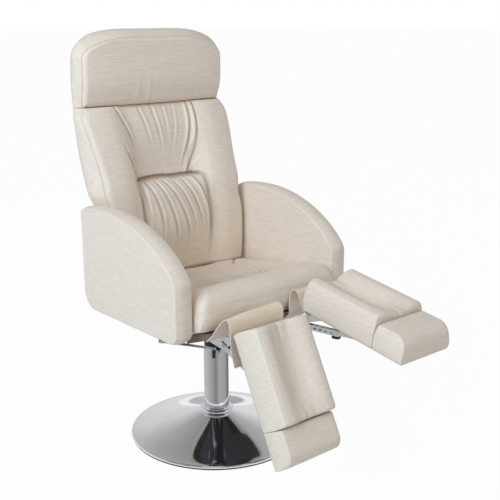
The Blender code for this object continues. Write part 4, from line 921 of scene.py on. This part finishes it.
def leg_pad_form(side, sign):
    """A leg pad: a broad trough between two soft bolsters, sewn along its top edges, gathered at its ends."""
    def form(s, t, h):
        u = PAD_START + PAD_LENGTH * (1 - t) / 2
        share = (u - PAD_START) / PAD_LENGTH
        inset = LEG_HALF_WIDTH * (1 - np.abs(s))
        trough = hump(s, 0.0, 0.74) * (0.80 + 0.20 * np.sin(math.pi * share))
        trough = trough * (1.0 - 0.6 * ease(share, 0.60, 0.98))
        top = PAD_UNDERSIDE + PAD_THICKNESS + 0.003 * hump(np.abs(s), 0.70, 0.40) - TROUGH_DEPTH * trough
        top = top - fall(0.85 * inset, PAD_EDGE_RADIUS)
        top = top - fall(PAD_LENGTH * (1 - share), 0.010) - fall(PAD_LENGTH * share, 0.008)
        gathers = hump(s, 0.0, 0.6) * np.maximum(hump(share, 0.0, 0.30), 0.6 * hump(share, 1.0, 0.2))
        wave = np.sin(s * 19.0 + 1.2 * np.sin(4.0 * s))
        sewn = bell(inset - PAD_SEWN_INSET, SEWN_WIDTH)
        top = top + 0.0013 * gathers * wave - SEWN_DEPTH * sewn
        belly = np.sin(math.pi * h)
        u = u + belly * (0.0012 * ease(-t, 0.97, 1.0) - 0.003 * ease(t, 0.97, 1.0))
        y, z = on_leg(u, PAD_UNDERSIDE + (top - PAD_UNDERSIDE) * h, side)
        # Painted shade in the gathers' hollows and along the sewn lines
        painted_shade = np.maximum(0.4 * bounded(-gathers * wave), SEWN_PAINTED_SHADE * sewn)
        return np.stack([across_leg(s, h, sign, PAD_SWELL), y, z], axis=-1), painted_shade * (h > FACE_FROM)
    return form


def foot_pad_form(side, sign):
    """A foot pad: a small loaf with a large round far edge, sewn along its two sides."""
    def form(s, t, h):
        u = FOOT_START + FOOT_LENGTH * (1 - t) / 2
        inset = LEG_HALF_WIDTH * (1 - np.abs(s))
        sewn = bell(inset - FOOT_SEWN_INSET, SEWN_WIDTH)
        top = PAD_UNDERSIDE + FOOT_THICKNESS + 0.001 * (1 - s * s) - fall(inset, FOOT_EDGE_RADIUS)
        top = top - SEWN_DEPTH * sewn - fall(FOOT_START + FOOT_LENGTH - u, FOOT_FAR_RADIUS)
        top = top - fall(u - FOOT_START, 0.009)
        u = u + 0.0012 * np.sin(math.pi * h) * (ease(-t, 0.96, 1.0) - ease(t, 0.96, 1.0))
        y, z = on_leg(u, PAD_UNDERSIDE + (top - PAD_UNDERSIDE) * h, side)
        x = across_leg(s, h, sign, FOOT_SWELL)
        # Painted shade along the sewn lines
        return np.stack([x, y, z], axis=-1), SEWN_PAINTED_SHADE * sewn * (h > FACE_FROM)
    return form


def make_leg_rests():
    """Each rest's pad and foot pad, with leatherette drawn down over the edges of its board."""
    up = np.linspace(0.0, 1.0, 14)
    for side, sign in SIDES:
        soft_slab("leg_pad_cover_" + side, leg_pad_form(side, sign), crowded(84, 0.7), crowded(96, 0.7), up,
                  "leg_" + side, ["leg_pad_" + side, "leg_board_" + side], BOARD)
        soft_slab("foot_pad_cover_" + side, foot_pad_form(side, sign), crowded(64, 0.75), crowded(48, 0.75),
                  up, "foot_" + side, ["foot_pad_" + side, "foot_board_" + side], BOARD)


def flap_line(side, sign):
    """Where a flap lies: a function from (across, share of its length, lift) to points, and its length.

    The sheet follows a looped line, higher at its inner edge, with a slow ripple where it hangs loose.
    """
    line = even_spacing(smooth_line(FLAP_LINES[side]), FLAP_POINTS)
    along = np.linspace(0.0, 1.0, FLAP_POINTS)
    ahead = np.gradient(line, axis=0)
    square = np.stack([-ahead[:, 1], ahead[:, 0]], axis=-1) / np.linalg.norm(ahead, axis=1, keepdims=True)

    def lie(across, q, lift):
        s = across / FLAP_HALF_WIDTH
        loose = np.sin(math.pi * bounded(q / 0.75)) ** 2
        ripple = FLAP_RIPPLE * np.sin(3.1 * s + 5.0 * q) * np.maximum(loose, ease(q, 0.62, 1.0))
        rise = lift - (FLAP_LEAN[side] * loose * -sign * s + ripple)
        y = np.interp(q, along, line[:, 0]) + rise * np.interp(q, along, square[:, 0])
        z = np.interp(q, along, line[:, 1]) + rise * np.interp(q, along, square[:, 1])
        return np.stack([sign * LEG_MIDDLE + across, y, z], axis=-1)

    return lie, np.linalg.norm(np.diff(line, axis=0), axis=1).sum()


def cut_sheet(kept):
    """Quads of a two-faced sheet, from a grid of kept cells: both faces, and a wall along each cut."""
    rows, columns = kept.shape
    number = np.arange((rows + 1) * (columns + 1)).reshape(rows + 1, columns + 1)
    cells = grid_quads(number)[kept]
    start = cells.ravel()
    end = np.roll(cells, -1, axis=1).ravel()
    alone = ~np.isin(start * number.size + end, end * number.size + start)
    start, end = start[alone], end[alone]
    walls = np.stack([end, start, start + number.size, end + number.size], axis=-1)
    other = cells[:, ::-1] + number.size
    kind = np.repeat([0, 1, 0], [len(cells), len(other), len(walls)])
    used, faces = np.unique(np.vstack([cells, other, walls]), return_inverse=True)
    return used, faces.reshape(-1, 4), kind


def make_flaps():
    """The loose flaps that hide the gaps before the seat: leatherette, a lining, a notch at each hinge."""
    wing = np.linspace(NOTCH_HALF_WIDTH, FLAP_HALF_WIDTH, 18)
    across = np.concatenate([-wing[::-1], np.linspace(-NOTCH_HALF_WIDTH, NOTCH_HALF_WIDTH, 9)[1:-1], wing])
    for side, sign in SIDES:
        lie, length = flap_line(side, sign)
        notch_top, flap_end = NOTCH_TOP[side], FLAP_END[side]
        along = np.concatenate([np.linspace(0.0, notch_top, 66), np.linspace(notch_top, flap_end, 26)[1:]])
        x, q = np.meshgrid(across, along)
        middle_x = (across[1:] + across[:-1]) / 2
        middle_q = (along[1:] + along[:-1]) / 2
        kept = (np.abs(middle_x)[None, :] > NOTCH_HALF_WIDTH) | (middle_q[:, None] < notch_top)
        used, faces, kind = cut_sheet(kept)
        sheets = [lie(x.ravel(), q.ravel(), lift) for lift in (-FLAP_THICKNESS / 2, FLAP_THICKNESS / 2)]
        points = np.vstack(sheets)[used]
        name = "flap_sheet_" + side
        mesh = mesh_from(name, points, outward(points, faces))
        mesh.set_sharp_from_angle(angle=FLAP_SHARP)
        flap = place(name, mesh, None, "cream_leatherette", FLAP_LEATHERETTE, FLAP_LINING)
        mesh.polygons.foreach_set("material_index", kind.astype(np.int32))
        mesh.update()
        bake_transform(flap)
        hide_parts("flap_" + side)


make_base()
make_back()
make_seat()
make_arms()
make_leg_rests()
make_flaps()


def finish_frame():
    """Gives each CAD node the finish of its material slot, shaded smooth over its round faces."""
    slots = {part["node"]: part["material_slot"] for part in frame["record"]["subparts"]}
    for name, node in frame["nodes"].items():
        node.data.materials.clear()
        node.data.materials.append(FINISHES[slots[name]])
        node.data.shade_smooth()
        node.data.set_sharp_from_angle(angle=FRAME_SHARP)


def make_camera():
    """The camera at the photo's viewpoint."""
    lens = bpy.data.cameras.new("photo_camera")
    lens.lens = CAMERA_LENS
    lens.sensor_width = CAMERA_SENSOR
    camera = add_to_scene("photo_camera", lens)
    camera.location = CAMERA_PLACE
    camera.rotation_euler = (math.radians(90 - CAMERA_DIP), 0.0, math.radians(CAMERA_AZIMUTH))
    bpy.context.scene.camera = camera


def card(name, edges, tones):
    """A grey sheet that only mirrors see, so that the chrome has something darker than the room in it.

    It is a strip through (radius, height, grey) edges, carried round Z from the first to the last of its
    (degrees, share) tones, which scale its greys on the way.
    """
    turn = np.linspace(tones[0][0], tones[-1][0], CARD_STEPS)
    angle = np.radians(turn)
    ring = np.stack([np.cos(angle), np.sin(angle)], axis=-1)
    points = np.concatenate([np.column_stack([ring * radius, np.full(CARD_STEPS, height)])
                             for radius, height, _ in edges])
    share = np.interp(turn, *np.array(tones).T)
    grey = np.concatenate([pale * share for _, _, pale in edges])
    number = np.arange(len(points)).reshape(len(edges), CARD_STEPS)
    mesh = mesh_from(name, points, grid_quads(number).reshape(-1, 4))
    mesh.attributes.new("grey", "FLOAT", "POINT").data.foreach_set("value", grey.astype(np.float32))
    tone, _, tree = new_finish(name, 1.0)
    glow = new_node(tree, "Emission")
    told = new_node(tree, "Attribute")
    told.attribute_name = "grey"
    wire(tree, [(told.outputs["Color"], glow.inputs["Color"]),
                (glow.outputs[0], tree.nodes["Material Output"].inputs["Surface"])])
    mesh.materials.append(tone)
    flag = add_to_scene(name, mesh)
    flag.visible_camera = False
    flag.visible_diffuse = False
    flag.visible_shadow = False
    flag.visible_transmission = False


def soft_lamp(name, at, aim, size, power, colour):
    """A square soft box that faces a point."""
    lamp = bpy.data.lights.new(name, "AREA")
    lamp.color = colour
    lamp.size = size
    lamp.energy = power
    box = add_to_scene(name, lamp)
    box.location = at
    x, y, z = np.array(aim) - np.array(at)
    box.rotation_euler = (math.atan2(math.hypot(x, y), -z), 0.0, math.atan2(x, -y) + math.pi)


def seen_rays(tree):
    """A number that is 1 for camera, glossy and transmission rays, and 0 for all others."""
    path = new_node(tree, "LightPath")
    seen = new_node(tree, "Math", "MAXIMUM")
    through = new_node(tree, "Math", "MAXIMUM")
    wire(tree, [(path.outputs["Is Camera Ray"], seen.inputs[0]),
                (path.outputs["Is Glossy Ray"], seen.inputs[1]), (seen.outputs[0], through.inputs[0]),
                (path.outputs["Is Transmission Ray"], through.inputs[1])])
    return through.outputs[0]


def make_studio():
    """A pale floor that keeps the shadow, soft boxes, grey cards, and a world that looks white."""
    square = np.array([(-1, -1), (1, -1), (1, 1), (-1, 1)]) * FLOOR_REACH
    floor_points = np.column_stack([square, np.full(4, FLOOR_HEIGHT)])
    floor_mesh = mesh_from("floor", floor_points, np.array([[0, 1, 2, 3]]))
    floor = add_to_scene("floor", floor_mesh)
    paper, shader, tree = new_finish("pale_floor", 0.7)
    shader.inputs["Base Color"].default_value = (0.9, 0.9, 0.9, 1.0)
    glow = new_node(tree, "Emission")
    share = new_node(tree, "Math", "MULTIPLY")
    share.inputs[1].default_value = FLOOR_GLOW
    mix = new_node(tree, "MixShader")
    wire(tree, [(seen_rays(tree), share.inputs[0]), (share.outputs[0], mix.inputs["Fac"]),
                (shader.outputs[0], mix.inputs[1]), (glow.outputs[0], mix.inputs[2]),
                (mix.outputs[0], tree.nodes["Material Output"].inputs["Surface"])])
    floor_mesh.materials.append(paper)
    world = bpy.data.worlds.new("studio")
    bpy.context.scene.world = world
    world.use_nodes = True
    tree = world.node_tree
    back = tree.nodes["Background"]
    back.inputs["Color"].default_value = (1.0, 1.0, 1.0, 1.0)
    bright = new_node(tree, "MapRange", To_Min=ROOM_LIGHT, To_Max=1.0)
    wire(tree, [(seen_rays(tree), bright.inputs["Value"]), (bright.outputs[0], back.inputs["Strength"])])
    for lamp in LAMPS:
        soft_lamp(*lamp)
    card("floor_flag", ((0.27, 0.0006, 1.0), (1.5, 0.0006, 1.0)), FLOOR_SHARES)
    card("room_flag", ROOM_EDGES, ROOM_SHARES)
    card("near_flag", ((2.2, 0.5, 0.14), (2.2, 3.2, 0.14)), ((165.0, 1.0), (300.0, 1.0)))
    bpy.context.scene.view_settings.view_transform = "Standard"


finish_frame()
make_camera()
make_studio()
